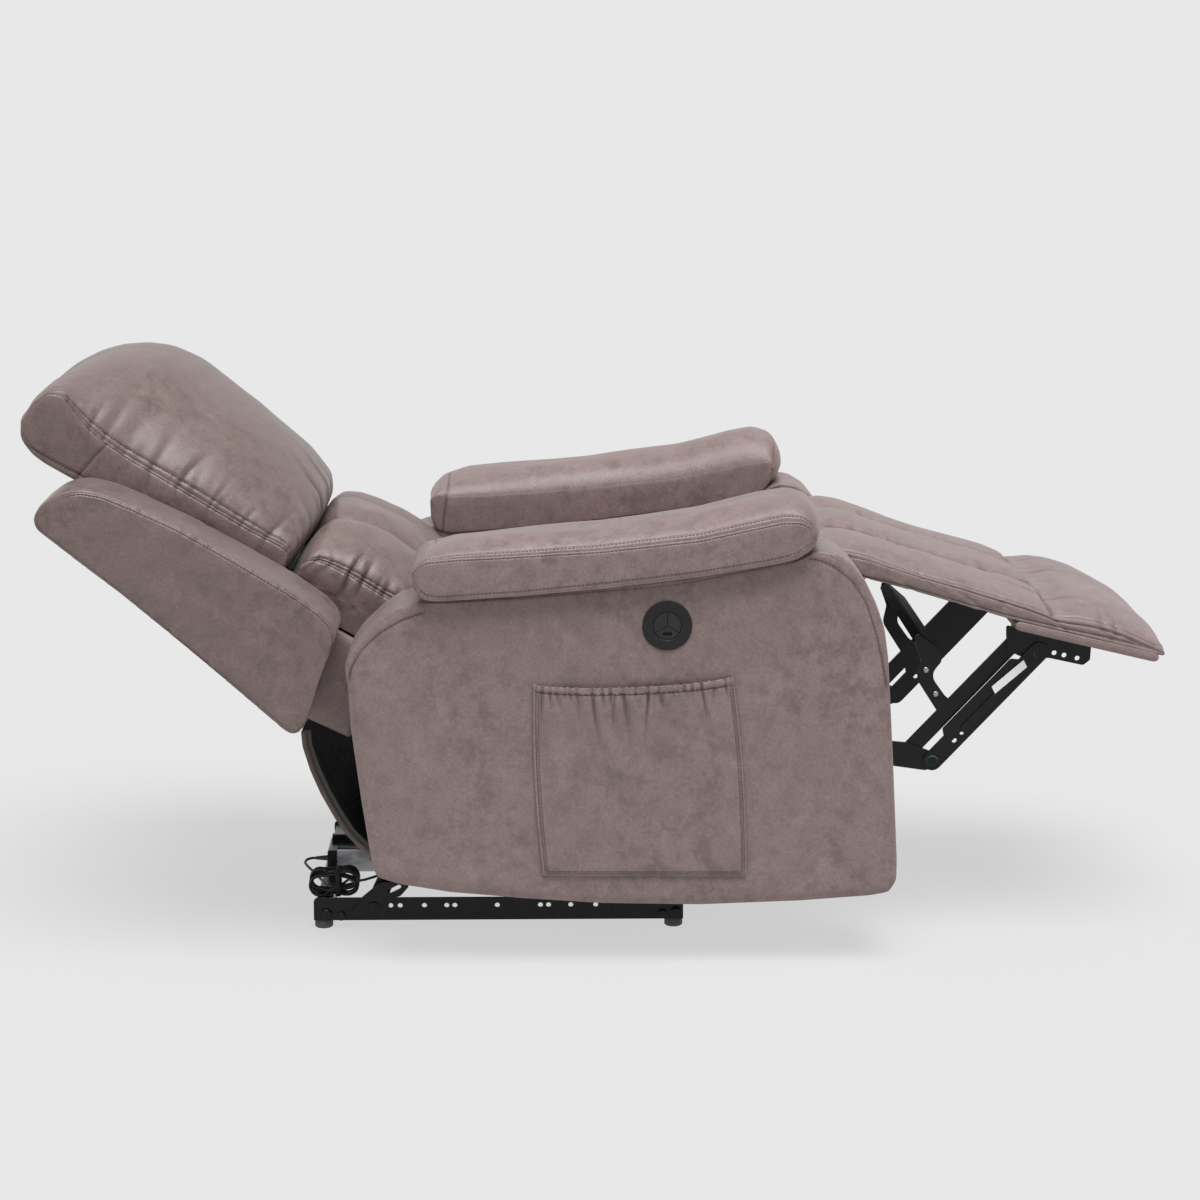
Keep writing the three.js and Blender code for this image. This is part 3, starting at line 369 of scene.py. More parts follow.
def face_out(obj: bpy.types.Object) -> bpy.types.Object:
    """Turns the faces of a closed mesh outwards, judged by its signed volume.

    Args:
        obj: the piece.

    Returns:
        The same piece.
    """
    mesh = obj.data
    mesh.calc_loop_triangles()
    tri = np.empty(len(mesh.loop_triangles) * 3, np.int32)
    mesh.loop_triangles.foreach_get("vertices", tri)
    co = np.empty(len(mesh.vertices) * 3)
    mesh.vertices.foreach_get("co", co)
    p = co.reshape(-1, 3)[tri.reshape(-1, 3)]
    if np.einsum("ij,ij->i", p[:, 0], np.cross(p[:, 1], p[:, 2])).sum() < 0:
        mesh.flip_normals()
    return obj


def keep_creases(obj: bpy.types.Object, values: Array) -> None:
    """Stores a crease for each vertex, from which the hide's finish paints shade into valleys and light on
    ridges.
    """
    attribute = obj.data.attributes.new("crease", "FLOAT", "POINT")
    attribute.data.foreach_set("value", values)


def grid_faces(rows: int, cols: int, around: bool = False) -> Array:
    """Quads of a grid of points.

    Args:
        rows: points one way.
        cols: points the other way.
        around: whether the last column joins the first.

    Returns:
        Four point numbers to a row.
    """
    i = np.arange(rows - 1)[:, None]
    j = np.arange(cols if around else cols - 1)[None, :]
    k = (j + 1) % cols
    quads = np.stack([i * cols + j, i * cols + k, (i + 1) * cols + k, (i + 1) * cols + j], axis=-1)
    return quads.reshape(-1, 4)


def closed_skin(rings: Array) -> tuple[Array, Array]:
    """Skin through closed rings, of which the first and the last shrink to a pole.

    Args:
        rings: points of each ring.

    Returns:
        Its points and its faces.
    """
    m, n = rings.shape[:2]
    verts = np.vstack([rings.reshape(-1, 3), rings[0].mean(0), rings[-1].mean(0)])
    j = np.arange(n)
    k = (j + 1) % n
    none = np.full(n, -1)
    low = np.stack([k, j, np.full(n, m * n), none], axis=1)
    top = np.stack([(m - 1) * n + j, (m - 1) * n + k, np.full(n, m * n + 1), none], axis=1)
    return verts, np.vstack([grid_faces(m, n, True), low, top])


def paired_faces(m: int, n: int) -> Array:
    """Faces of a skin whose two end rings are closed across, point j to point n - j.

    Args:
        m: rings.
        n: points to a ring.

    Returns:
        Four point numbers to a row.
    """
    j = np.arange(1, n // 2 - 1)
    quads = np.stack([j, j + 1, n - j - 1, n - j], axis=1)
    tips = np.array([[0, 1, n - 1, -1], [n // 2 - 1, n // 2, n // 2 + 1, -1]])
    top = np.vstack([quads, tips])
    low = np.array([[f[1], f[0], f[3], f[2]] if f[3] >= 0 else [f[1], f[0], f[2], -1] for f in top])
    top = np.where(top >= 0, top + (m - 1) * n, -1)
    return np.vstack([grid_faces(m, n, True), low, top])


def ring_normals(rings: Array) -> Array:
    """Outward unit normals of closed rings, from the differences along and across them.

    Args:
        rings: points of each ring.

    Returns:
        A normal for each point.
    """
    along = np.roll(rings, -1, axis=1) - np.roll(rings, 1, axis=1)
    across = np.gradient(rings, axis=0)
    n = np.cross(along, across)
    n /= np.maximum(np.linalg.norm(n, axis=-1, keepdims=True), 1e-12)
    centre = rings.reshape(-1, 3).mean(0)
    return -n if ((rings - centre) * n).sum() < 0 else n


@dataclass
class Surface:
    """What a relief function may read about each point of a form, in millimetres.

    Args:
        x: layout x, or f on the back.
        y: across the chair.
        z: layout z, or up on the back.
        s: length along the loop.
        v: share of the half width, -1 to 1, and beyond that on the side panels.
        inset: how far a point of a side panel lies inside its seam; 0 elsewhere.
    """

    x: Array
    y: Array
    z: Array
    s: Array
    v: Array
    inset: Array

    @property
    def flat(self) -> Array:
        """The (x, z) of each point."""
        return np.stack([self.x, self.z], axis=-1)

    @property
    def xyz(self) -> Array:
        """The (x, y, z) of each point."""
        return np.stack([self.x, self.y, self.z], axis=-1)

    @property
    def body(self) -> Array:
        """Whether a point lies between the two side seams."""
        return np.abs(self.v) <= 1

    @property
    def span(self) -> float:
        """Length of the loop."""
        return float(self.s.max())

    def edge(self, half: float) -> Array:
        """Distance to the nearer side seam, for a body of a given half width."""
        return np.where(self.body, (1 - np.abs(self.v)) * half, self.inset)


@dataclass
class SoftForm:
    """A stuffed or covered form: a loop carried across the chair, crowned, with side panels.

    A point is the mix of the crest loop and the seam loop, by (1 - |v|^p)^q across the width.
    A side panel runs from the seam loop to the line halfway between facing points of the loop,
    or to a round well, and bulges by a share of a circle.

    Args:
        name: the piece's name.
        rows: (crest x, crest z, seam x, seam z) round the loop.
        tips: numbers of the two rows where the loop turns back, between which points face each other.
        low: lowest y, in mm.
        high: highest y, in mm.
        crown: the exponents p and q.
        bulge: how far the side panels stand out, in mm.
        reach: how far corners are softened, in mm.
        around: points round the loop, an even number.
        across: rows of points across the width.
        panel: rows of points on each side panel.
        relief: height in mm added along the normal.
        leaning: whether the loop is given in the back's (f, up).
        well: centre, radius and depth, in mm, of a round well in the low side panel.
        roll: how far the seam draws in on the low and the high side, as shares for the loop's first
            and second half.
        skin: the finished rings.
        normals: their normals.
        where: what the relief read.
        crease: how far each point lies in a valley; the hide paints shade and highlight from it.
    """

    name: str
    rows: Pairs
    tips: tuple[int, int]
    low: float
    high: float
    crown: tuple[float, float]
    bulge: float
    reach: float
    around: int
    across: int
    panel: int
    relief: Callable[[Surface], Array] | None = None
    leaning: bool = False
    well: tuple[float, float, float, float] | None = None
    roll: tuple[tuple[float, float], tuple[float, float]] = ((0.0, 0.0), (0.0, 0.0))
    skin: Array | None = field(default=None, init=False)
    normals: Array | None = field(default=None, init=False)
    where: Surface | None = field(default=None, init=False)
    crease: Array | None = field(default=None, init=False)

    def loops(self) -> tuple[Array, Array]:
        """Even points round both loops; points i and -i lie at equal shares of the ways between the tips.

        Returns:
            The crest loop and the seam loop.
        """
        rows = np.roll(np.asarray(self.rows, float), -self.tips[0], axis=0)
        cut = (self.tips[1] - self.tips[0]) % len(rows)
        half = self.around // 2
        parts = []
        total = 0.0
        for chain in (rows[: cut + 1], np.vstack([rows[cut:], rows[:1]])):
            step = np.hypot(*np.diff(chain[:, :2], axis=0).T) + np.hypot(*np.diff(chain[:, 2:], axis=0).T)
            s = np.concatenate([[0], np.cumsum(np.maximum(step, 1e-3) / 2)])
            t = np.linspace(0, s[-1], half, endpoint=False)
            parts.append(np.stack([np.interp(t, s, chain[:, i]) for i in range(4)], axis=1))
            total += s[-1]
        out = soften(np.concatenate(parts), self.reach * self.around / total, True)
        return out[:, :2], out[:, 2:]

    def side_panel(self, seam: Array, sign: int, half: float, mid: float) -> tuple[Array, Array, Array]:
        """One side panel, from its first row inside the seam.

        Args:
            seam: the seam loop.
            sign: of y from the body's middle.
            half: half the body's width.
            mid: y of its middle.

        Returns:
            Its outline points, their y, and how far each lies inside the seam.
        """
        t = (np.linspace(0, 1, self.panel + 1)[1:] ** 1.25)[:, None, None]
        if not self.well:
            hub = (seam + np.roll(seam[::-1], 1, axis=0)) / 2
            t = t * 0.97
        elif sign < 0:
            cx, cz, radius, _ = self.well
            ray = seam - (cx, cz)
            hub = (cx, cz) + radius * ray / np.linalg.norm(ray, axis=1, keepdims=True)
        else:
            hub = np.broadcast_to(seam.mean(0), seam.shape)
            t = t * 0.99
        flat = seam[None] * (1 - t) + hub[None] * t
        inset = np.linalg.norm(flat - seam[None], axis=-1)
        rise = np.clip(inset / PANEL_EASE, 0, 1)
        y = mid + sign * (half + self.bulge * np.sqrt(np.clip(1 - (1 - rise) ** 2, 0, 1)))
        return flat, y, inset

    def rings(self, layout: Layout) -> Array:
        """Rings from the low side panel's middle to the high one's; keeps what the stitching needs.

        Args:
            layout: places the form.

        Returns:
            Row-frame points of each ring.
        """
        crest, seam = self.loops()
        half = (self.high - self.low) / 2
        mid = (self.high + self.low) / 2
        v = np.sin(np.linspace(-1, 1, self.across) * math.pi / 2)
        b = (1 - np.abs(v) ** self.crown[0]) ** self.crown[1]
        inward = (np.roll(seam[::-1], 1, axis=0) - seam) / 2
        ends = []
        for shares in self.roll:
            share = soften(np.repeat(shares, self.around // 2), 10.0, True)
            ends.append(seam + inward * share[:, None])
        side = np.where((v < 0)[:, None, None], ends[0][None], ends[1][None])
        body = side + (crest[None] - side) * b[:, None, None]
        low, y0, i0 = self.side_panel(ends[0], -1, half, mid)
        high, y1, i1 = self.side_panel(ends[1], 1, half, mid)
        flat = np.concatenate([low[::-1], body, high])
        y = np.concatenate([y0[::-1], np.repeat((mid + half * v)[:, None], self.around, 1), y1])
        beyond = 1 + np.linspace(0, 1, self.panel + 1)[1:]
        vv = np.concatenate([-beyond[::-1], v, beyond])
        inset = np.concatenate([i0[::-1], np.zeros((self.across, self.around)), i1])
        placed = lean_back(flat) if self.leaning else flat
        rings = layout.row(placed[..., 0], y, placed[..., 1])
        if any(map(any, self.roll)):
            rolled = 1 if any(self.roll[1]) else -1
            ease = np.exp(-(((np.abs(vv) - 1) / ROLL_EASE) ** 2)) * (np.sign(vv) == rolled)
            rings = rings + (soften(rings, 5.0, False) - rings) * ease[:, None, None]
        step = np.linalg.norm(np.diff(seam, axis=0, append=seam[:1]), axis=1)
        s = np.broadcast_to(np.concatenate([[0], np.cumsum(step)[:-1]]), y.shape)
        vv = np.broadcast_to(vv[:, None], y.shape)
        self.where = Surface(flat[..., 0], y, flat[..., 1], s, vv, inset)
        self.normals = ring_normals(rings)
        height = self.relief(self.where) if self.relief else np.zeros(y.shape)
        self.skin = rings + self.normals * (height / 1000)[..., None]
        self.crease = creases(height, 2.5, True)
        return self.skin

    def build(self, layout: Layout) -> bpy.types.Object:
        """The form as a closed mesh object with its creases in an attribute.

        Args:
            layout: places the form.

        Returns:
            The object.
        """
        rings = self.rings(layout)
        crease = self.crease
        if self.well:
            wall = np.repeat(rings[:1], 2, axis=0)
            wall[:, :, 1] += np.array([self.well[3] / 1000, 0.002])[:, None]
            verts, faces = closed_skin(np.concatenate([wall, rings]))
            crease = np.concatenate([crease[:1] * 0, crease[:1] * 0, crease])
            crease = np.append(crease.ravel(), [0, 0])
        else:
            verts, faces = rings.reshape(-1, 3), paired_faces(len(rings), self.around)
        obj = make_object(self.name, verts, faces)
        keep_creases(obj, crease.ravel())
        return face_out(obj)

    def panel_row(self, sign: int, depth: float) -> tuple[Array, Array, int]:
        """The line on a side panel that lies evenly inside its seam.

        Args:
            sign: -1 for the low panel, 1 for the high one.
            depth: distance inside the seam, in mm.

        Returns:
            Its points, their normals, and the number of the ring at the seam.
        """
        w = self.where
        rows = np.where(w.v[:, 0] * sign >= 1 - 1e-9)[0]
        rows = rows[np.argsort(w.inset[rows].mean(1))]
        inset = w.inset[rows]
        k = np.clip((inset < depth).sum(0), 1, len(rows) - 1)
        col = np.arange(self.around)
        a, b = inset[k - 1, col], inset[k, col]
        t = np.clip((depth - a) / np.maximum(b - a, 1e-6), 0, 1)[:, None]
        points = self.skin[rows[k - 1], col] * (1 - t) + self.skin[rows[k], col] * t
        return points, self.normals[rows[k], col], rows[0]

    def trace(self, v: float, begin: tuple[float, float], end: tuple[float, float]) -> Run:
        """A line on the finished skin, for stitches.

        Args:
            v: share of the half width; beyond -1 or 1 it counts millimetres inside the seam.
            begin: (x, z) of the seam loop near which the line begins; it runs on round the loop.
            end: (x, z) near which it ends.

        Returns:
            Its points and their normals.
        """
        w = self.where
        if abs(v) <= 1:
            row = int(np.abs(w.v[:, 0] - v).argmin())
            points, normals = self.skin[row], self.normals[row]
        else:
            points, normals, row = self.panel_row(int(math.copysign(1, v)), abs(v) - 1)
        i, j = (int(np.hypot(w.x[row] - x, w.z[row] - z).argmin()) for x, z in (begin, end))
        pick = np.arange(i, j + 1 if j > i else j + 1 + self.around) % self.around
        return points[pick] + normals[pick] * THREAD_LIFT / 1000, normals[pick]


def stitches(name: str, path: Array, normal: Array, pitch: float) -> bpy.types.Object:
    """Thread stitches along a path: spindles of six sides and five rings, one after another.

    Args:
        name: the piece's name.
        path: row-frame points along the seam.
        normal: the surface's normal at each point.
        pitch: from stitch to stitch, in mm.

    Returns:
        The stitches as one object.
    """
    s = np.concatenate([[0], np.cumsum(np.linalg.norm(np.diff(path, axis=0), axis=1))]) * 1000
    at = np.arange(pitch / 2, s[-1] - pitch / 2, pitch)
    mid = np.stack([np.interp(at, s, path[:, i]) for i in range(3)], axis=1)
    ahead = np.stack([np.interp(at + 0.5, s, path[:, i]) for i in range(3)], axis=1) - mid
    t = ahead / np.maximum(np.linalg.norm(ahead, axis=1, keepdims=True), 1e-12)
    n = np.stack([np.interp(at, s, normal[:, i]) for i in range(3)], axis=1)
    n -= (n * t).sum(1, keepdims=True) * t
    n /= np.maximum(np.linalg.norm(n, axis=1, keepdims=True), 1e-12)
    b = np.cross(t, n)
    along = np.linspace(-0.5, 0.5, 5) * STITCH / 1000
    thick = THREAD_RADIUS / 1000 * np.array([0.35, 0.95, 1.0, 0.95, 0.35])
    angle = np.arange(6) * math.pi / 3
    ring = np.cos(angle)[:, None, None] * n + np.sin(angle)[:, None, None] * b
    verts = (
        mid[:, None, None]
        + along[None, :, None, None] * t[:, None, None]
        + thick[None, :, None, None] * ring.transpose(1, 0, 2)[:, None]
    )
    caps = np.array([[3, 2, 1, 0], [5, 4, 3, 0], [24, 25, 26, 27], [24, 27, 28, 29]])
    one = np.vstack([grid_faces(5, 6, True), caps])
    faces = (one[None] + 30 * np.arange(len(at))[:, None, None]).reshape(-1, 4)
    return make_object(name, verts.reshape(-1, 3), faces)


def rope(name: str, path: Array, radius: float, sides: int) -> bpy.types.Object:
    """A closed round tube: circles in the planes across a path, with end fans.

    Args:
        name: the piece's name.
        path: row-frame points.
        radius: in mm.
        sides: points round the tube.

    Returns:
        The tube.
    """
    t = np.gradient(path, axis=0)
    t /= np.maximum(np.linalg.norm(t, axis=1, keepdims=True), 1e-12)
    n = np.zeros_like(path)
    first = np.cross(t[0], (0.3, 0.5, 0.81))
    n[0] = first / np.linalg.norm(first)
    for i in range(1, len(path)):
        step = n[i - 1] - (n[i - 1] @ t[i]) * t[i]
        n[i] = step / np.linalg.norm(step)
    b = np.cross(t, n)
    a = np.linspace(0, 2 * math.pi, sides, endpoint=False)
    ring = np.cos(a)[None, :, None] * n[:, None] + np.sin(a)[None, :, None] * b[:, None]
    verts, faces = closed_skin(path[:, None] + radius / 1000 * ring)
    return face_out(make_object(name, verts, faces))


def hoop(name: str, rings: Array) -> bpy.types.Object:
    """A closed band through rings of points, whose last ring joins its first.

    Args:
        name: the piece's name.
        rings: points of each ring.

    Returns:
        The band.
    """
    m, n = rings.shape[:2]
    j = np.arange(n)
    k = (j + 1) % n
    join = np.stack([(m - 1) * n + j, (m - 1) * n + k, k, j], axis=1)
    faces = np.vstack([grid_faces(m, n, True), join])
    return face_out(make_object(name, rings.reshape(-1, 3), faces))


def turned(layout: Layout, name: str, at: tuple[float, float], profile: Pairs) -> bpy.types.Object:
    """A closed body turned about an axis along Y.

    Args:
        layout: places it.
        name: the piece's name.
        at: (x, z) of the axis, in mm.
        profile: (radius, y) from one end's middle to the other's, in mm.

    Returns:
        The body.
    """
    a = np.linspace(0, 2 * math.pi, 40, endpoint=False)
    rings = []
    for r, y in profile:
        rings.append(layout.row(at[0] + r * np.cos(a), np.full(a.shape, float(y)), at[1] + r * np.sin(a)))
    verts, faces = closed_skin(np.stack(rings))
    return face_out(make_object(name, verts, faces))


def sheet_solid(name: str, outer: Array, inner: Array) -> bpy.types.Object:
    """A closed mesh between two grids of points, joined round their rims.

    Args:
        name: the piece's name.
        outer: one face's points.
        inner: the other face's points, as many.

    Returns:
        The sheet.
    """
    m, k = outer.shape[:2]
    total = m * k
    face = grid_faces(m, k)
    rim = np.concatenate([
        np.arange(k),
        np.arange(k - 1, total, k)[1:],
        np.arange(total - 1, total - k - 1, -1)[1:],
        np.arange(total - k, 0, -k)[1:],
    ])
    after = np.roll(rim, -1)
    walls = np.stack([after, rim, rim + total, after + total], axis=1)
    verts = np.vstack([outer.reshape(-1, 3), inner.reshape(-1, 3)])
    return face_out(make_object(name, verts, np.vstack([face, face[:, ::-1] + total, walls])))


# ---------------------------------------------------------------- finishes


class Wiring:
    """Short calls for placing and joining shader nodes in one tree."""

    def __init__(self, tree: bpy.types.NodeTree) -> None:
        """Keeps the tree that the nodes go into."""
        self.tree = tree

    def put(self, kind: str, inputs: dict | None = None, **props: object) -> bpy.types.Node:
        """Adds a node.

        Args:
            kind: the node's type, without its ShaderNode prefix.
            inputs: socket name or index to a value or to another node's output.
            props: the node's own settings.

        Returns:
            The node.
        """
        node = self.tree.nodes.new("ShaderNode" + kind)
        for key, value in props.items():
            setattr(node, key, value)
        for key, value in (inputs or {}).items():
            if isinstance(value, Socket):
                self.tree.links.new(value, node.inputs[key])
            else:
                node.inputs[key].default_value = value
        return node

    def join(self, value: Socket, node: bpy.types.Node, key: str) -> None:
        """Joins an output to a named input of a node."""
        self.tree.links.new(value, node.inputs[key])

    def noise(self, at: Socket, scale: float, detail: float, rough: float) -> Socket:
        """Fractal noise at a scale per metre."""
        inputs = {"Vector": at, "Scale": scale, "Detail": detail, "Roughness": rough}
        return self.put("TexNoise", inputs).outputs[0]

    def ramp(self, value: Socket, low: float, high: float, a: float = 0.0, b: float = 1.0) -> Socket:
        """Smooth step of a value from low..high to a..b."""
        inputs = {"Value": value, "From Min": low, "From Max": high, "To Min": a, "To Max": b}
        return self.put("MapRange", inputs, interpolation_type="SMOOTHSTEP").outputs[0]

    def mix(self, share: Socket, a: object, b: object) -> Socket:
        """Colour mix of a and b."""
        return self.put("Mix", {0: share, 6: a, 7: b}, data_type="RGBA").outputs[2]

    def math(self, operation: str, a: object, b: object) -> Socket:
        """One arithmetic step."""
        return self.put("Math", {0: a, 1: b}, operation=operation).outputs[0]


def shader_group(
    name: str, inputs: dict[str, float], outputs: Sequence[str]
) -> tuple[Wiring, dict[str, Socket], bpy.types.Node]:
    """A new shader node group with a vector input, float inputs and float outputs.

    Args:
        name: the group's name.
        inputs: name of each float input to its standard value.
        outputs: names of the outputs.

    Returns:
        Its wiring, its input sockets by name, and its output node.
    """
    tree = bpy.data.node_groups.new(name, "ShaderNodeTree")
    tree.interface.new_socket("Vector", in_out="INPUT", socket_type="NodeSocketVector")
    for key, value in inputs.items():
        socket = tree.interface.new_socket(key, in_out="INPUT", socket_type="NodeSocketFloat")
        socket.default_value = value
    for key in outputs:
        tree.interface.new_socket(key, in_out="OUTPUT", socket_type="NodeSocketFloat")
    start = tree.nodes.new("NodeGroupInput")
    end = tree.nodes.new("NodeGroupOutput")
    return Wiring(tree), {s.name: s for s in start.outputs if s.name}, end


def hide_group() -> bpy.types.NodeTree:
    """Mottling and grain of a napped hide: smudges, flecks, a rubbed bloom and a pebbled height.

    Returns:
        The group, made on first use.
    """
    found = bpy.data.node_groups.get("napped_hide")
    if found:
        return found
    w, i, end = shader_group("napped_hide", {"Pebble": 620.0}, ("Smudge", "Bloom", "Fleck", "Height"))
    at = i["Vector"]
    warp = w.put("TexNoise", {"Vector": at, "Scale": 11.0, "Detail": 3.0}).outputs[1]
    bent = w.put("Mix", {0: 0.03, 4: at, 5: warp}, data_type="VECTOR").outputs[1]
    broad = w.ramp(w.noise(at, 6.5, 3, 0.5), 0.35, 0.65, 0.45, 1.0)
    smudge = w.ramp(w.noise(bent, 36.0, 9, 0.7), 0.43, 0.65)
    w.join(w.math("MULTIPLY", smudge, broad), end, "Smudge")
    w.join(w.ramp(w.noise(bent, 27.0, 9, 0.74), 0.49, 0.70), end, "Bloom")
    w.join(w.ramp(w.noise(at, 240.0, 4, 0.8), 0.35, 0.65), end, "Fleck")
    cells = w.put("TexVoronoi", {"Vector": at, "Scale": i["Pebble"]}, feature="SMOOTH_F1").outputs[0]
    fine = w.noise(at, 1500.0, 2, 0.5)
    coarse = w.noise(at, 260.0, 3, 0.5)
    height = w.math("ADD", w.math("MULTIPLY", cells, -0.5), w.math("MULTIPLY", fine, 0.35))
    height = w.math("ADD", height, w.math("MULTIPLY", coarse, 0.6))
    w.join(height, end, "Height")
    return w.tree


def scuff_group() -> bpy.types.NodeTree:
    """Dust and faint scuffs for hard finishes: a soft mask, streaks and a fine orange-peel height.

    Returns:
        The group, made on first use.
    """
    found = bpy.data.node_groups.get("scuffs")
    if found:
        return found
    w, i, end = shader_group("scuffs", {"Peel": 700.0}, ("Dust", "Streak", "Height"))
    at = i["Vector"]
    w.join(w.ramp(w.noise(at, 40.0, 6, 0.65), 0.48, 0.72), end, "Dust")
    long = w.put("Mapping", {"Vector": at, "Scale": (60.0, 900.0, 900.0)}).outputs[0]
    w.join(w.ramp(w.noise(long, 1.0, 3, 0.5), 0.55, 0.75), end, "Streak")
    w.join(w.noise(at, i["Peel"], 2, 0.5), end, "Height")
    return w.tree


def srgb(r: int, g: int, b: int) -> Rgb:
    """Linear colour of an 8-bit display colour."""
    shares = (r / 255, g / 255, b / 255)
    return tuple(c / 12.92 if c <= 0.04045 else ((c + 0.055) / 1.055) ** 2.4 for c in shares)


def opaque(color: Rgb) -> tuple[float, float, float, float]:
    """A colour with full alpha."""
    return (*color, 1)


def blank_material(name: str) -> tuple[bpy.types.Material, Wiring]:
    """A new material with an empty node tree.

    Args:
        name: the material's name.

    Returns:
        The material and the wiring of its tree.
    """
    material = bpy.data.materials.new(name)
    material.use_nodes = True
    material.node_tree.nodes.clear()
    return material, Wiring(material.node_tree)


@dataclass(frozen=True)
class Finish:
    """A hard finish: its name, main colour and plain surface settings.

    Args:
        name: the material's name.
        color: linear colour.
        roughness: mean roughness.
        metallic: 0 or 1.
        gloss: level of the mirror share of its light.
    """

    name: str
    color: Rgb
    roughness: float
    metallic: float = 0.0
    gloss: float = 0.5

    def material(self) -> bpy.types.Material:
        """The material.

        Returns:
            The material, made on first use.
        """
        found = bpy.data.materials.get(self.name)
        if found:
            return found
        material, w = blank_material(self.name)
        shader = w.put("BsdfPrincipled", {"Metallic": self.metallic, "Roughness": self.roughness})
        shader.inputs["Base Color"].default_value = opaque(self.color)
        shader.inputs["Specular IOR Level"].default_value = self.gloss
        w.join(shader.outputs[0], w.put("OutputMaterial"), "Surface")
        self.wire(w, shader, w.put("TexCoord").outputs["Object"])
        material.diffuse_color = opaque(self.color)
        return material

    def wire(self, w: Wiring, shader: bpy.types.Node, at: Socket) -> None:
        """Adds what varies over the surface: for a hard finish, dust, streaks and orange peel.

        Args:
            w: wiring of the material's tree.
            shader: its shader.
            at: the piece's own coordinates.
        """
        group = w.put("Group", node_tree=scuff_group())
        w.join(at, group, "Vector")
        out = group.outputs
        light = tuple(min(1.0, c * 1.4 + 0.004) for c in self.color)
        dust = w.math("MULTIPLY", out["Dust"], 0.45)
        w.join(w.mix(dust, opaque(self.color), opaque(light)), shader, "Base Color")
        rough = w.math("ADD", w.math("MULTIPLY", out["Dust"], 0.14), self.roughness - 0.05)
        rough = w.math("ADD", rough, w.math("MULTIPLY", out["Streak"], -0.06))
        w.join(rough, shader, "Roughness")
        self.bump(w, shader, out["Height"], 0.00012)

    def bump(self, w: Wiring, shader: bpy.types.Node, height: Socket, depth: float) -> None:
        """Joins a height to the shader's normal through a Bump node of a depth in metres."""
        node = w.put("Bump", {"Height": height, "Distance": depth, "Strength": 1.0})
        w.join(node.outputs[0], shader, "Normal")

    def dress(self, obj: bpy.types.Object) -> None:
        """Gives a piece this finish."""
        obj.data.materials.clear()
        obj.data.materials.append(self.material())


@dataclass(frozen=True)
class Hide(Finish):
    """Napped synthetic hide; it reads the piece's crease attribute, from which it paints shade into valleys
    and light on ridges.

    Args:
        dark: colour of the smudges.
        light: colour of the rubbed bloom, and of the lightened ridges, which are part rubbed wear and part
            painted highlight.
        sheen: strength of the nap's sheen.
    """

    dark: Rgb = (0.1, 0.07, 0.07)
    light: Rgb = (0.3, 0.24, 0.23)
    sheen: float = 0.12

    def wire(self, w: Wiring, shader: bpy.types.Node, at: Socket) -> None:
        """Smudges, bloom and flecks in the colour, painted shade in the valleys, ridges lightened as part
        rubbed wear and part painted highlight, and a pebbled bump.

        Args:
            w: wiring of the material's tree.
            shader: its shader.
            at: the piece's own coordinates.
        """
        group = w.put("Group", node_tree=hide_group())
        w.join(at, group, "Vector")
        out = group.outputs
        crease = w.put("Attribute", attribute_name="crease").outputs["Fac"]
        light = opaque(self.light)
        # Colour of the painted shade in the valleys.
        deep = tuple(0.62 * c for c in self.dark)
        color = w.mix(w.math("MULTIPLY", out["Smudge"], 0.66), opaque(self.color), opaque(self.dark))
        color = w.mix(w.math("MULTIPLY", out["Bloom"], 0.42), color, light)
        fleck = w.math("ADD", w.math("MULTIPLY", out["Fleck"], 0.22), 0.89)
        color = w.put("VectorMath", {0: color, 3: fleck}, operation="SCALE").outputs[0]
        # Ridges lightened towards the bloom colour: part rubbed wear, part painted highlight.
        ridge = w.ramp(w.math("MULTIPLY", crease, -1.0), 0.08, 1.0, 0.0, 0.16)
        color = w.mix(ridge, color, light)
        # Painted shade: valleys darkened where shade would fall.
        valley = w.ramp(crease, 0.05, 0.9, 0.0, 0.72)
        color = w.mix(valley, color, opaque(deep))
        w.join(color, shader, "Base Color")
        rough = w.math("SUBTRACT", self.roughness + 0.04, w.math("MULTIPLY", out["Smudge"], 0.09))
        w.join(rough, shader, "Roughness")
        shader.inputs["Sheen Weight"].default_value = self.sheen
        shader.inputs["Sheen Roughness"].default_value = 0.4
        self.bump(w, shader, out["Height"], 0.0004)


@dataclass(frozen=True)
class Woven(Finish):
    """Plain weave: two crossed sets of waves over the piece's own coordinates.

    Args:
        threads: threads per metre.
    """

    threads: float = 1400.0

    def wire(self, w: Wiring, shader: bpy.types.Node, at: Socket) -> None:
        """Thread height from two crossed waves, and lint in the colour.

        Args:
            w: wiring of the material's tree.
            shader: its shader.
            at: the piece's own coordinates.
        """
        tilted = w.put("Mapping", {"Vector": at, "Rotation": (0.0, 0.8, 0.0)}).outputs[0]
        waves = {"Vector": tilted, "Scale": self.threads / 6.3}
        a, b = (w.put("TexWave", waves, bands_direction=axis).outputs[1] for axis in "XY")
        height = w.math("MAXIMUM", a, b)
        lint = w.math("MULTIPLY", w.ramp(w.noise(at, 55.0, 6, 0.7), 0.45, 0.75), 0.5)
        pale = tuple(c * 1.9 + 0.01 for c in self.color)
        w.join(w.mix(lint, opaque(self.color), opaque(pale)), shader, "Base Color")
        self.bump(w, shader, height, 0.0003)


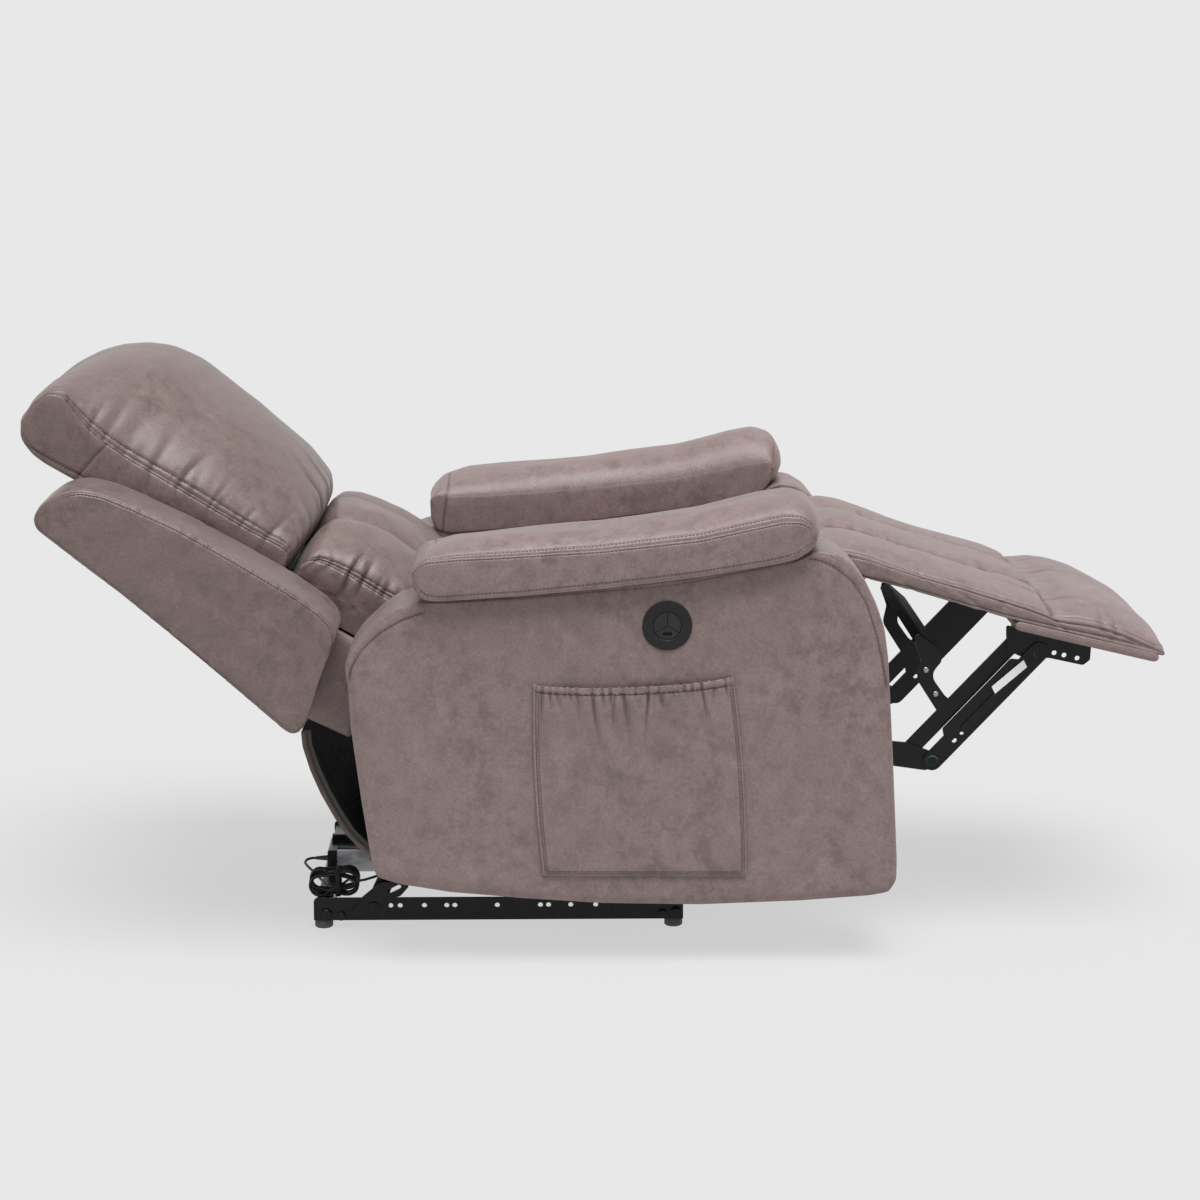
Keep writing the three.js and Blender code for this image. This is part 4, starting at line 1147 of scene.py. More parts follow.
@dataclass(frozen=True)
class Grained(Finish):
    """Sawn timber: noise stretched along Y.

    Args:
        dark: colour of the grain lines.
    """

    dark: Rgb = (0.25, 0.15, 0.07)

    def wire(self, w: Wiring, shader: bpy.types.Node, at: Socket) -> None:
        """Grain lines along Y, in the colour and in the height.

        Args:
            w: wiring of the material's tree.
            shader: its shader.
            at: the piece's own coordinates.
        """
        long = w.put("Mapping", {"Vector": at, "Scale": (60.0, 2.5, 60.0)}).outputs[0]
        grain = w.ramp(w.noise(long, 3.0, 5, 0.6), 0.42, 0.62)
        w.join(w.mix(grain, opaque(self.color), opaque(self.dark)), shader, "Base Color")
        self.bump(w, shader, grain, 0.0004)


HIDE = Hide("taupe_hide", srgb(128, 110, 108), 0.42, dark=srgb(94, 80, 78), light=srgb(152, 132, 128))
# Painted shade: a darker copy of the taupe hide for the back's pillow, lumbar pad and wings, standing in
# for the shade that falls on them.
HIDE_SHADED = Hide(
    "taupe_hide_deep", srgb(112, 95, 92), 0.38, dark=srgb(82, 67, 64), light=srgb(137, 117, 112)
)
THREAD = Finish("dark_thread", srgb(62, 52, 51), 0.7, gloss=0.2)
HEM = Woven("brown_hem", srgb(98, 84, 80), 0.8, threads=900.0)
STEEL = Finish("black_enamelled_steel", srgb(22, 21, 23), 0.3, gloss=0.22)
ENAMEL_DARK = Finish("black_enamel_inner", srgb(18, 17, 19), 0.68, gloss=0.08)
RUBBER = Finish("black_rubber", srgb(22, 22, 22), 0.7, gloss=0.2)
LEAD = Finish("black_lead", srgb(20, 20, 21), 0.42, gloss=0.3)
SHELL = Finish("black_moulded_shell", srgb(23, 23, 25), 0.3, gloss=0.32)
KEYS = Finish("grey_black_keys", srgb(38, 38, 41), 0.42, gloss=0.3)
ALLOY = Finish("drawn_alloy", srgb(185, 187, 190), 0.34, 1.0)
ZINC = Finish("bright_zinc", srgb(150, 151, 154), 0.3, 1.0)
WIRE = Finish("spring_wire", srgb(140, 142, 146), 0.35, 1.0)
NYLON = Finish("teal_nylon", srgb(28, 120, 118), 0.45)
LABEL = Finish("blank_label", srgb(236, 237, 238), 0.45)
LINING = Woven("black_lining", srgb(26, 25, 26), 0.9, threads=1500.0)
WEBBING = Woven("grey_webbing", srgb(88, 86, 88), 0.85, threads=700.0)
TIMBER = Grained("sawn_timber", srgb(186, 152, 108), 0.7)


# ---------------------------------------------------------------- studio


@dataclass
class Studio:
    """Camera, pale floor and soft light.

    Args:
        distance: of the camera in front of the chair, in m.
        height: of the camera, in m.
        lens: focal length, in mm.
        pitch: looking down, in degrees.
        yaw: towards +X, in degrees.
        pale: linear grey of the background.
        glow: share of the floor's brightness that its shadow doesn't take.
        shade: grey of the part that takes the shadow.
        fill: grey of the light from all sides.
        key: strength of the lamp.
        spread: angle that the lamp fills, in degrees.
        aim: the lamp's rotation, in degrees.
        reach: half the floor's width, in m.
    """

    distance: float = 4.61
    height: float = 1.2728
    lens: float = 91.44
    pitch: float = 10.083
    yaw: float = 1.0918
    pale: float = 0.807
    glow: float = 0.73
    shade: float = 0.152
    fill: float = 0.35
    key: float = 3.6
    spread: float = 42.0
    aim: tuple[float, float, float] = (20.0, 0.0, 12.0)
    reach: float = 60.0

    def camera(self, layout: Layout) -> None:
        """The camera of the scene, level with the chair's middle.

        Args:
            layout: places it.
        """
        data = bpy.data.cameras.new("camera")
        data.lens = self.lens
        data.sensor_width = 36.0
        camera = bpy.data.objects.new("camera", data)
        camera.location = (layout.shift, -self.distance, self.height)
        camera.rotation_euler = (math.radians(90 - self.pitch), 0, math.radians(-self.yaw))
        bpy.context.scene.collection.objects.link(camera)
        bpy.context.scene.camera = camera

    def world(self) -> None:
        """Even light from all sides; the camera, glossy and see-through rays meet the pale background."""
        world = bpy.data.worlds.new("studio")
        bpy.context.scene.world = world
        world.use_nodes = True
        world.node_tree.nodes.clear()
        w = Wiring(world.node_tree)
        path = w.put("LightPath").outputs
        clear = w.math("MAXIMUM", path["Is Glossy Ray"], path["Is Transmission Ray"])
        seen = w.math("MAXIMUM", path["Is Camera Ray"], clear)
        fill = (self.fill, self.fill, self.fill * 1.02)
        level = w.mix(seen, opaque(fill), opaque((self.pale,) * 3))
        back = w.put("Background", {"Color": level, "Strength": 1.0})
        w.join(back.outputs[0], w.put("OutputWorld"), "Surface")

    def floor(self) -> None:
        """A wide plain floor that keeps the chair's shadow."""
        r = self.reach
        corners = np.array([[-r, -r, 0], [r, -r, 0], [r, r, 0], [-r, r, 0]])
        floor = make_object("floor", corners, np.array([[0, 1, 2, 3]]), smooth=False)
        floor.location.z = -0.0005
        material, w = blank_material("pale_floor")
        matt = w.put("BsdfDiffuse", {"Color": opaque((self.shade,) * 3)})
        glow = w.put("Emission", {"Color": opaque((self.pale * self.glow,) * 3)})
        both = w.put("AddShader", {0: matt.outputs[0], 1: glow.outputs[0]})
        w.join(both.outputs[0], w.put("OutputMaterial"), "Surface")
        floor.data.materials.append(material)

    def lamp(self) -> None:
        """A broad soft lamp from above."""
        data = bpy.data.lights.new("key", "SUN")
        data.energy = self.key
        data.angle = math.radians(self.spread)
        lamp = bpy.data.objects.new("key", data)
        lamp.rotation_euler = tuple(math.radians(a) for a in self.aim)
        bpy.context.scene.collection.objects.link(lamp)

    def build(self) -> None:
        """Everything of the studio but the camera, which comes first."""
        self.world()
        self.floor()
        self.lamp()
        bpy.context.scene.view_settings.view_transform = "Standard"


# ---------------------------------------------------------------- the lead


@dataclass
class Part:
    """A sub-assembly of the chair.

    Args:
        layout: places its points.
    """

    layout: Layout


@dataclass
class ControlLead(Part):
    """Thin lead behind the base: a tail to a tied hank, and a return run to the track.

    Args:
        radius: of the lead, in mm.
        tail: points from its strain relief to the hank.
        back: points from the hank to the track.
        middle: the hank's centre.
        reach: half the hank's length.
        tight: smallest radius of its bends.
        slack: how much larger the loose bends are.
        pitch: from turn to turn, along Y.
        turns: whole turns.
        sway: how far the turns lean, in radians.
        waves: how often they lean to and fro.
        ends: how far past the middle of its run the first turn begins, and how far before it the
            last one ends.
        side: the first turn's y from the hank's centre.
        strap: the tie's half width along X, its x from the hank's centre, its thickness, and its
            half sizes along Y and Z.
    """

    radius: float = 2.0
    tail: Pairs = (
        (-350.9, -50, 59.9), (-357.9, -51, 59.9), (-364, -60, 60), (-366, -74, 59), (-360, -90, 57),
        (-351, -106, 54), (-343, -122, 51), (-336, -138, 49), (-331, -152, 48), (-325, -165, 47.2),
        (-316, -175, 47), (-304, -180, 46.9),
    )
    back: Pairs = (
        (-318, -219.5, 54), (-306, -219, 61), (-298, -212, 64), (-294, -200, 64), (-292, -188, 63),
        (-291, -178, 60), (-288, -168, 55), (-281, -157, 52), (-270, -144, 50.5), (-256, -129, 51),
        (-242, -114, 53), (-229, -98, 56), (-219, -84, 58), (-214, -75, 59), (-213, -68.3, 59.3),
    )
    middle: tuple[float, float, float] = (-312, -199, 63.9)
    reach: float = 36.0
    tight: float = 12.0
    slack: float = 5.0
    pitch: float = 4.6
    turns: int = 8
    sway: float = 0.3
    waves: int = 5
    ends: tuple[float, float] = (8.0, 14.0)
    side: float = 18.4
    strap: tuple[float, float, float, float, float] = (3.5, 6.0, 0.7, 21.6, 20.6)

    def hank(self) -> Array:
        """Oval turns of straight runs and half circles, a pitch apart, leaning to and fro.

        Returns:
            Layout points along the hank, in mm.
        """
        run = self.reach - self.tight - self.slack
        around = 4 * run + 2 * math.pi * (self.tight + self.slack)
        first = (run + self.ends[0]) / around
        last = self.turns + (run - self.ends[1]) / around
        turn = np.linspace(first, last, self.turns * 36)
        beta = math.pi * self.waves * (turn - turn[0]) / (turn[-1] - turn[0])
        b = self.tight + self.slack * np.cos(beta) ** 2
        r = self.reach - b
        q = np.mod(turn, 1) * (4 * r + 2 * math.pi * b)
        arc = math.pi * b
        a1 = (q - 2 * r) / b
        a2 = (q - 4 * r - arc) / b
        on = [q < 2 * r, q < 2 * r + arc, q < 4 * r + arc]
        x = np.select(on, [q - r, r + b * np.sin(a1), 3 * r + arc - q], -r - b * np.sin(a2))
        z = np.select(on, [-b, -b * np.cos(a1), b], b * np.cos(a2))
        lean = self.sway * np.sin(beta)
        x, z = x * np.cos(lean) - z * np.sin(lean), x * np.sin(lean) + z * np.cos(lean)
        y = self.side - self.pitch * (turn - run / around)
        return np.stack([x, y, z], axis=1) + np.array(self.middle)

    def build(self) -> None:
        """The lead and its tie."""
        ctrl = np.vstack([self.tail[:-1], self.hank(), self.back])
        path = self.layout.points(open_curve(ctrl, 1300, 2.0))
        path[0] = self.layout.points([self.tail[0]])[0]
        lead = rope("control_lead", path, self.radius, 8)
        LEAD.dress(lead)
        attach(lead, "base")
        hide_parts("control_lead_tail", "control_lead_hank", "control_lead_return")
        tie = self.tie()

    def tie(self) -> bpy.types.Object:
        """A flat strap round the hank: a rounded loop in the Y-Z plane.

        Returns:
            The strap.
        """
        x, y, z = self.middle
        half, ahead, thick, wide, tall = self.strap
        a = np.linspace(0, 2 * math.pi, 64, endpoint=False)
        c, s = np.cos(a), np.sin(a)
        ry = np.sign(c) * np.abs(c) ** 0.4
        rz = np.sign(s) * np.abs(s) ** 0.4
        rings = []
        for dx, grow in ((-half, -thick), (-half, 0.0), (half, 0.0), (half, -thick)):
            across = y + (wide + grow) * ry
            rings.append(self.layout.row(x + ahead + dx + 0 * a, across, z + (tall + grow) * rz))
        tie = hoop("lead_tie", np.stack(rings))
        LINING.dress(tie)
        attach(tie, "base")
        return tie


# ---------------------------------------------------------------- upholstery


def show(
    form: SoftForm, layout: Layout, body: str | None, *nodes: str, finish: Finish = HIDE
) -> bpy.types.Object:
    """Builds a form, dresses it, rides it on a body and lets it stand for CAD nodes.

    Args:
        form: what to build.
        layout: places it.
        body: the body it rides on; None leaves it on no body.
        nodes: the CAD nodes that it stands for.
        finish: its finish.

    Returns:
        The piece.
    """
    obj = form.build(layout)
    finish.dress(obj)
    if body:
        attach(obj, body)
    if nodes:
        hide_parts(*nodes)
    LOG.info("%s %d faces", obj.name, len(obj.data.polygons))
    return obj


def face_run(path: Array, side: Side) -> Run:
    """A run of stitches on a face that looks sideways: its points and their normals."""
    return path, np.broadcast_to(np.array([0.0, float(side.value), 0.0]), path.shape)


def sew(name: str, body: str, runs: Sequence[Run], pitch: float = 5.4) -> None:
    """Thread stitches along runs, as one piece that rides on a body.

    Args:
        name: the piece's name.
        body: the body it rides on.
        runs: points and normals of each run.
        pitch: from stitch to stitch, in mm.
    """
    parts = [stitches(f"{name}_{i}", path, normal, pitch) for i, (path, normal) in enumerate(runs)]
    first = parts[0]
    if len(parts) > 1:
        with bpy.context.temp_override(
            active_object=first, selected_editable_objects=parts, selected_objects=parts, object=first
        ):
            bpy.ops.object.join()
    first.name = name
    THREAD.dress(first)
    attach(first, body)


def inset_rows(outline: Pairs, distance: float) -> list[tuple[float, ...]]:
    """Rows whose seam outline lies a distance inside the crest outline, corner by corner.

    Args:
        outline: the crest outline's corners.
        distance: in mm.

    Returns:
        Crest and seam corners, one pair to a row.
    """
    a = np.asarray(outline, float)
    before = a - np.roll(a, 1, axis=0)
    after = np.roll(a, -1, axis=0) - a
    before /= np.linalg.norm(before, axis=1, keepdims=True)
    after /= np.linalg.norm(after, axis=1, keepdims=True)
    mid = before + after
    mid /= np.linalg.norm(mid, axis=1, keepdims=True)
    cross = before[:, 0] * after[:, 1] - before[:, 1] * after[:, 0]
    turn = 1.0 if cross.sum() > 0 else -1.0
    reach = distance / np.maximum((mid * after).sum(1), 0.5)
    seam = a + turn * np.stack([-mid[:, 1], mid[:, 0]], axis=1) * reach[:, None]
    return [(*p, *q) for p, q in zip(a, seam)]


@dataclass
class Arms(Part):
    """The two arms: covered panels and padded tops, with their stitching.

    Args:
        panel: side outline of an arm, (x, z).
        arcs: sewn lines on its outer face.
        pad: rows of the pad's crest and seam.
        control: centre, radius and depth of the control's well in the right panel.
        pad_in: |y| of the pad's inner side.
        pad_out: |y| of its outer band.
        caps: x of the sewn end caps on the pad's inner side.
        band_ends: (x, z) of the front and rear ends of the band's sewn rows.
        foot_ends: (x, z) of the rear and front ends of the row along the band's foot.
    """

    panel: Pairs = (
        (-238, 128), (-204, 117), (-133, 105), (-34, 96), (80, 88), (222, 85), (365, 90), (464, 97),
        (492, 102), (503, 120), (503, 151), (495, 297), (486, 441), (480, 484), (468, 519), (452, 552),
        (431, 579), (408, 593), (384, 597), (357, 585.7), (218, 561.7), (79, 545.7), (-30, 534.7),
        (-143, 527.7), (-172, 527.2), (-205, 517), (-228, 501), (-257, 474), (-272, 452), (-279, 432),
        (-275, 401), (-271, 343), (-258, 242), (-245, 155),
    )
    arcs: Sequence[Pairs] = (
        ((-276, 400), (-270, 429), (-254, 458), (-229, 481), (-199, 499), (-165, 511)),
        ((370, 585), (386, 583), (408, 573), (432, 554), (452, 525), (466, 484), (476, 441), (484, 400)),
    )
    pad: Pairs = (
        (-168, 530, -166, 531), (-143, 528, -143, 529), (-30, 535, -30, 536), (79, 546.3, 79, 547),
        (218, 562.3, 218, 563), (320, 579, 320, 580), (357, 586.5, 352, 587.5), (380, 598, 369, 600),
        (391, 622, 375, 620), (388, 645, 371, 634), (374, 666, 358, 641), (346, 675, 334, 641),
        (306, 669, 306, 635), (222, 648, 218, 616), (81, 628, 79, 601), (-60, 616, -59, 593),
        (-123, 610, -123, 590), (-160, 597, -165, 586), (-183, 574, -182, 570), (-181, 545, -178, 545),
    )
    control: tuple[float, float, float, float] = (174.0, 491.0, 29.6, 25.0)
    pad_in: float = 273.0
    pad_out: float = 443.0
    caps: tuple[float, float] = (-152.0, 371.0)
    band_ends: Pairs = ((371, 634), (-178, 565))
    foot_ends: Pairs = ((-170, 540), (375, 600))

    def panel_relief(self, p: Surface) -> Array:
        """Faint waves of a stretched cover, a piped edge, and a sewn arc at each upper corner.

        Args:
            p: the surface.

        Returns:
            The height in mm.
        """
        stretched = np.stack([p.x, p.y * 0.4, p.z], axis=-1)
        wave = 0.7 * lumps(stretched, 210.0, 5) * np.clip(p.inset / 60, 0, 1)
        edge = groove(p.inset - 5.5, 1.8, 0.5) * ~p.body
        for arc in self.arcs:
            edge = edge + groove(line_distance(p.flat, open_curve(arc, 40, 1.0)), 2.4, 1.2) * ~p.body
        return wave + edge

    def pad_relief(self, p: Surface, outer: int) -> Array:
        """Soft crown; sewn edges on the outer band, sewn end caps on the inner side.

        Args:
            p: the surface.
            outer: sign of v on the band's side.

        Returns:
            The height in mm.
        """
        band = np.sign(p.v) == outer
        foot = (p.s < p.span * 0.47) & ~p.body
        seam = 0.7 * twin(p.edge((self.pad_out - self.pad_in) / 2)) * band
        seam = seam + groove(p.inset - 7.0, 1.5, 0.9) * band * foot
        for x in self.caps:
            seam = seam + groove(p.x - x - 0.12 * (p.z - 600), 2.6, 1.6) * ~band
        return seam + 1.6 * lumps(p.xyz, 120.0, 3)

    def cover(self, side: Side) -> None:
        """The covered panel of one arm.

        Args:
            side: which arm.
        """
        low, high = side.span(ARM_IN, ARM_OUT)
        panel = SoftForm(
            f"arm_cover_{side.tag}", inset_rows(self.panel, 2.5), (33, 15), low + 3, high - 3,
            crown=(16.0, 0.5), bulge=3.0, reach=3.5, around=420, across=70, panel=60,
            relief=self.panel_relief, well=self.control if side is Side.RIGHT else None,
        )
        show(panel, self.layout, "seat", f"arm_panel_{side.tag}")

    def top(self, side: Side) -> None:
        """The padded top of one arm, and its stitches.

        Args:
            side: which arm.
        """
        pad = SoftForm(
            f"arm_pad_cover_{side.tag}", self.pad, (18, 8), *side.span(self.pad_in, self.pad_out),
            crown=(2.6, 0.62), bulge=2.0, reach=5.0, around=420, across=100, panel=24,
            relief=lambda p: self.pad_relief(p, side.value),
            roll=((0.0, 0.0), (-0.5, 0.45))[:: -side.value],
        )
        show(pad, self.layout, "seat", f"arm_pad_{side.tag}")
        runs = [pad.trace(side.value * v, *self.band_ends) for v in (0.965, 4.0)]
        runs.append(pad.trace(side.value * 10.2, *self.foot_ends))
        sew(f"arm_pad_stitches_{side.tag}", "seat", runs)

    def arc_stitches(self, side: Side) -> None:
        """Stitches along the arcs on one arm's outer face.

        Args:
            side: which arm.
        """
        runs = []
        for arc in self.arcs:
            line = open_curve(arc, 80, 1.5)
            y = np.full(80, side.value * (ARM_OUT + 0.1))
            runs.append(face_run(self.layout.row(line[:, 0], y, line[:, 1]), side))
        sew(f"arm_stitches_{side.tag}", "seat", runs)

    def build(self) -> None:
        """Both arms."""
        for side in Side:
            self.cover(side)
            self.top(side)
            self.arc_stitches(side)


@dataclass
class Chaise(Part):
    """Seat cushion and legrest pad under one cover that bends over the front of the seat.

    Args:
        rows: crest and seam of the whole pad.
        roof: x and z of a line between the pad's top and its underside.
        half: half its width.
        crease: share of the half width at which the two channels are sewn.
        cross: x of the seam before the foot puff.
        channel_folds: gathers along the channels' seams.
        cross_folds: gathers along the cross seam.
        side_folds: gathers along the side seams.
        bend: layout points at which the cover's bend begins and ends; not used.
        board: outline of the covered board, along it and above it.
        board_at: (x, z) of the board's rear upper edge.
        board_slope: its slope, in degrees.
    """

    rows: Pairs = (
        (76, 393, 76, 393), (49, 393, 49, 393), (26, 439, 26, 439), (-8, 475, -8, 475),
        (-38, 494, -34, 484), (-34, 508, -28, 492), (0, 518, 0, 499), (100, 536, 100, 514),
        (200, 553, 200, 529), (300, 572, 300, 546), (400, 590, 400, 563), (440, 592, 440, 566),
        (468, 586, 468, 560), (498, 575, 498, 550), (547, 558, 547, 534), (600, 543, 600, 519),
        (642, 531, 642, 506), (700, 513, 700, 488), (727, 501, 727, 478), (741, 489, 741, 471),
        (754, 491, 756, 468), (775, 496, 775, 466), (807, 492, 807, 461), (841, 481, 841, 450),
        (885, 458, 882, 432), (908, 438, 902, 422), (914, 424, 905, 417), (902, 417.5, 899, 418),
        (800, 443.5, 800, 443.5), (700, 467.3, 700, 467.3), (668, 475, 668, 475.5),
        (600, 495, 600, 496), (529, 516, 529, 517), (464, 534, 464, 534), (462, 480, 462, 480),
        (455, 474, 455, 474), (425, 474, 425, 474), (250, 435, 250, 435),
    )
    roof: Pairs = ((-60, 49, 462, 529, 914), (470, 470, 560, 525, 424))
    half: float = HALF - 4
    crease: float = 0.36
    cross: float = 741.0
    channel_folds: Gathers = Gathers(22, 3.6, (16, 90), (3.0, 9.0), 21)
    cross_folds: Gathers = Gathers(17, 1.4, (12, 60), (2.6, 7.0), 31)
    side_folds: Gathers = Gathers(36, 1.2, (8, 60), (2.4, 7.0), 41)
    bend: Pairs = ((470, 0, 530), (592, 0, 500))
    board: Pairs = (
        (-8, -8), (-6, -13), (0, -16), (100, -16), (204, -16), (210, -14), (212.5, -8), (210, -2),
        (204, 0), (100, 0), (0, 0), (-6, -3),
    )
    board_at: tuple[float, float] = (694.0, 468.0)
    board_slope: float = -13.3

    def relief(self, p: Surface) -> Array:
        """Two sewn channels, the cross seam, piped sides, and gathers across each of them.

        Args:
            p: the surface.

        Returns:
            The height in mm.
        """
        top = ((p.z > np.interp(p.x, *self.roof)) & p.body) * 1.0
        run = np.clip((self.cross - 2 - p.x) / 10, 0, 1)
        channels = sausage(p.v, (-1.16, -self.crease, self.crease, 1.16), 21.0) * run
        d = np.abs(np.abs(p.v) - self.crease) * self.half
        near = np.clip((p.x - 330) / 60, 0, 1)
        drawn = self.channel_folds.relief(p.x + 60 + 30 * p.v, d, 800.0) * run * (0.3 + 0.7 * near)
        puff = sausage(p.v, (-1.25, 1.25), 5.0) * (1 - run)
        dc = np.abs(p.x - self.cross + 6 * (1 - p.v**2))
        seam = groove(dc, 3.4, 3.2)
        drawn = drawn + self.cross_folds.relief(p.y + 270, dc, 540.0)
        edge = p.edge(self.half)
        side = self.side_folds.relief(p.s, edge, p.span)
        ripples = 1.8 * lumps(p.xyz, 150.0, 7)
        piping = 1.8 * np.exp(-((edge / 2.2) ** 2)) - 1.3 * np.exp(-(((edge - 5.0) / 2.0) ** 2))
        return top * (channels + puff + seam + drawn + ripples) + (side + piping) * (p.z > 400)

    def build(self) -> None:
        """The pad and its upholstered board."""
        form = SoftForm(
            "chaise_pad", self.rows, (1, 26), -self.half, self.half, crown=(3.4, 0.55), bulge=3.0,
            reach=4.0, around=560, across=150, panel=12, relief=self.relief,
        )
        obj = show(form, self.layout, None, "seat_cushion", "legrest_pad")
        start, end = self.layout.points(self.bend)
        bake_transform(obj)
        x, z = self.board_at
        slope = math.radians(self.board_slope)
        c, s = math.cos(slope), math.sin(slope)
        outline = [(x + d * c - h * s, z + d * s + h * c) for d, h in self.board]
        board = SoftForm(
            "footrest_board_cover", inset_rows(outline, 2.0), (0, 6), -HALF + 2, HALF - 2,
            crown=(30.0, 0.5), bulge=2.0, reach=2.0, around=240, across=60, panel=8,
        )
        show(board, self.layout, "legrest", "footrest_board")


@dataclass
class Back(Part):
    """Head pillow, lumbar pad, wings, frame and outer panel, in the back's (f, up).

    Args:
        pillow: rows of the head pillow.
        gusset: sewn line on its side, from the front seam to the rear one.
        lumbar: rows of the lumbar pad.
        wing: rows of a wing.
        frame: outline of the covered frame.
        panel: outline of the outer panel.
        half: half the pillow's width.
        wing_in: |y| of a wing's inner side.
        wing_out: |y| of its outer side.
        wing_half: half its width, for the distance to its seams.
        pillow_folds: gathers along the pillow's side seams.
        pillow_drapes: broad folds from them.
        foot_folds: gathers along its lower edge.
        top_folds: gathers along its upper edge.
        lumbar_folds: gathers along the lumbar pad's side seams.
        wing_folds: gathers along a wing's seams.
    """

    pillow: Pairs = (
        (70, 311, 70, 320), (110, 306, 86, 321), (148, 308, 95, 326), (174, 324, 96, 345),
        (195, 372, 94, 392), (219, 474, 96, 484), (229, 583, 99, 586), (225, 630, 103, 632),
        (212, 664, 110, 664), (190, 697, 121, 690), (163, 722, 133, 714), (130, 742, 126, 734),
        (95, 755, 95, 747), (68, 757, 68, 748), (44, 744, 45, 736), (33, 716, 34, 712),
        (31, 690, 31, 690), (31, 600, 31, 600), (31, 450, 31, 450), (31, 332, 31, 332),
        (40, 316, 40, 322),
    )
    gusset: Pairs = ((106, 624), (80, 632), (36, 640))
    lumbar: Pairs = (
        (31, 118, 31, 118), (70, 98, 70, 98), (128, 58, 128, 60), (164, 14, 164, 18),
        (176, 10, 172, 14), (181, 26, 170, 28), (170, 62, 150, 64), (156, 98, 118, 100),
        (164, 130, 104, 132), (171, 160, 105, 160), (174, 200, 106, 200), (171, 238, 107, 236),
        (163, 272, 106, 262), (150, 296, 103, 284), (126, 306, 96, 296), (90, 308, 86, 302),
        (31, 305, 31, 302),
    )
    wing: Pairs = (
        (-108, 204, -109, 200), (-104, 191, -103, 191), (-85, 188, -84, 189), (-60, 194, -60, 193),
        (-20, 202, -20, 201), (24, 207, 22, 206), (48, 212, 42, 211), (60, 225, 55, 224),
        (67, 247, 62, 247), (71, 299, 67, 299), (73, 400, 69, 400), (73, 478, 69, 478),
        (68, 547, 63, 547), (62, 591, 57, 591), (52, 621, 47, 617), (43, 635, 38, 629),
        (29, 648, 24, 639), (0, 660, 0, 655), (-19, 659, -18, 657), (-30, 648, -30, 646),
        (-50, 503, -51, 503), (-78, 360, -79, 360),
    )
    frame: Pairs = ((-106, 115), (28, 113), (29.5, 300), (29.5, 640), (-14, 640), (-40, 560), (-112, 190))
    panel: Pairs = ((-124, 181), (-118, 180.5), (-70, 412), (-21, 645), (-27, 646), (-76, 413))
    half: float = 268.0
    wing_in: float = 272.5
    wing_out: float = 408.0
    wing_half: float = 68.0
    pillow_folds: Gathers = Gathers(44, 1.6, (8, 50), (2.2, 6.0), 51)
    pillow_drapes: Gathers = Gathers(9, 3.4, (60, 170), (8.0, 16.0), 52)
    foot_folds: Gathers = Gathers(15, 3.0, (20, 110), (4.0, 10.0), 57)
    top_folds: Gathers = Gathers(14, 1.6, (14, 60), (3.0, 7.0), 59)
    lumbar_folds: Gathers = Gathers(34, 4.2, (12, 60), (2.6, 7.0), 63)
    wing_folds: Gathers = Gathers(34, 0.9, (8, 40), (2.0, 6.0), 71)

    def pillow_relief(self, p: Surface) -> Array:
        """Twin-needle side seam with gathers, a sewn gusset and a soft uneven crown.

        Args:
            p: the surface.

        Returns:
            The height in mm.
        """
        d = p.edge(self.half)
        front = np.clip((p.x - 40) / 30, 0, 1)
        face = front * p.body
        seam = (twin(d) - 1.2 * np.exp(-((d / 9.0) ** 2))) * front
        drawn = self.pillow_folds.relief(p.s, d, p.span) * front
        drawn = drawn + self.pillow_drapes.relief(p.s, d, p.span) * face
        low = self.foot_folds.relief(p.y + 270, np.abs(p.z - 312), 540.0) * face
        high = self.top_folds.relief(p.y + 270, np.abs(750 - p.z), 540.0) * face
        cross = groove(line_distance(p.flat, open_curve(self.gusset, 20)), 2.2, 1.8) * ~p.body
        rear = groove(p.x - 41, 2.2, 1.6) * ~p.body * (p.z > 630)
        return seam + drawn + low + high + cross + rear + 2.6 * lumps(p.xyz, 190.0, 13) * front

    def lumbar_relief(self, p: Surface) -> Array:
        """Three stuffed channels, and a puckered double side seam.

        Args:
            p: the surface.

        Returns:
            The height in mm.
        """
        front = np.clip((p.x - 54) / 26, 0, 1)
        channels = sausage(p.v, (-1.14, -0.34, 0.34, 1.14), 27.0) * p.body
        edge = p.edge(self.half)
        side = self.lumbar_folds.relief(p.s, edge, p.span)
        side = side + twin(edge) - 1.6 * np.exp(-((edge / 8.0) ** 2))
        return (channels + side + 1.8 * lumps(p.xyz, 110.0, 17)) * front

    def wing_relief(self, p: Surface) -> Array:
        """Sewn edges with faint waves and gathers.

        Args:
            p: the surface.

        Returns:
            The height in mm.
        """
        edge = p.edge(self.wing_half)
        seam = groove(edge, 1.6, 1.0) + groove(p.inset - 3.4, 1.2, 1.1)
        gathers = self.wing_folds.relief(p.s, edge, p.span)
        return seam + gathers + 1.3 * lumps(p.xyz, 170.0, 19)

    def padding(self) -> None:
        """The pillow and the lumbar pad, and their stitches."""
        pillow = SoftForm(
            "head_pillow_cover", self.pillow, (0, 13), -self.half, self.half, crown=(2.3, 0.72),
            bulge=3.0, reach=6.0, around=400, across=180, panel=26, relief=self.pillow_relief,
            leaning=True,
        )
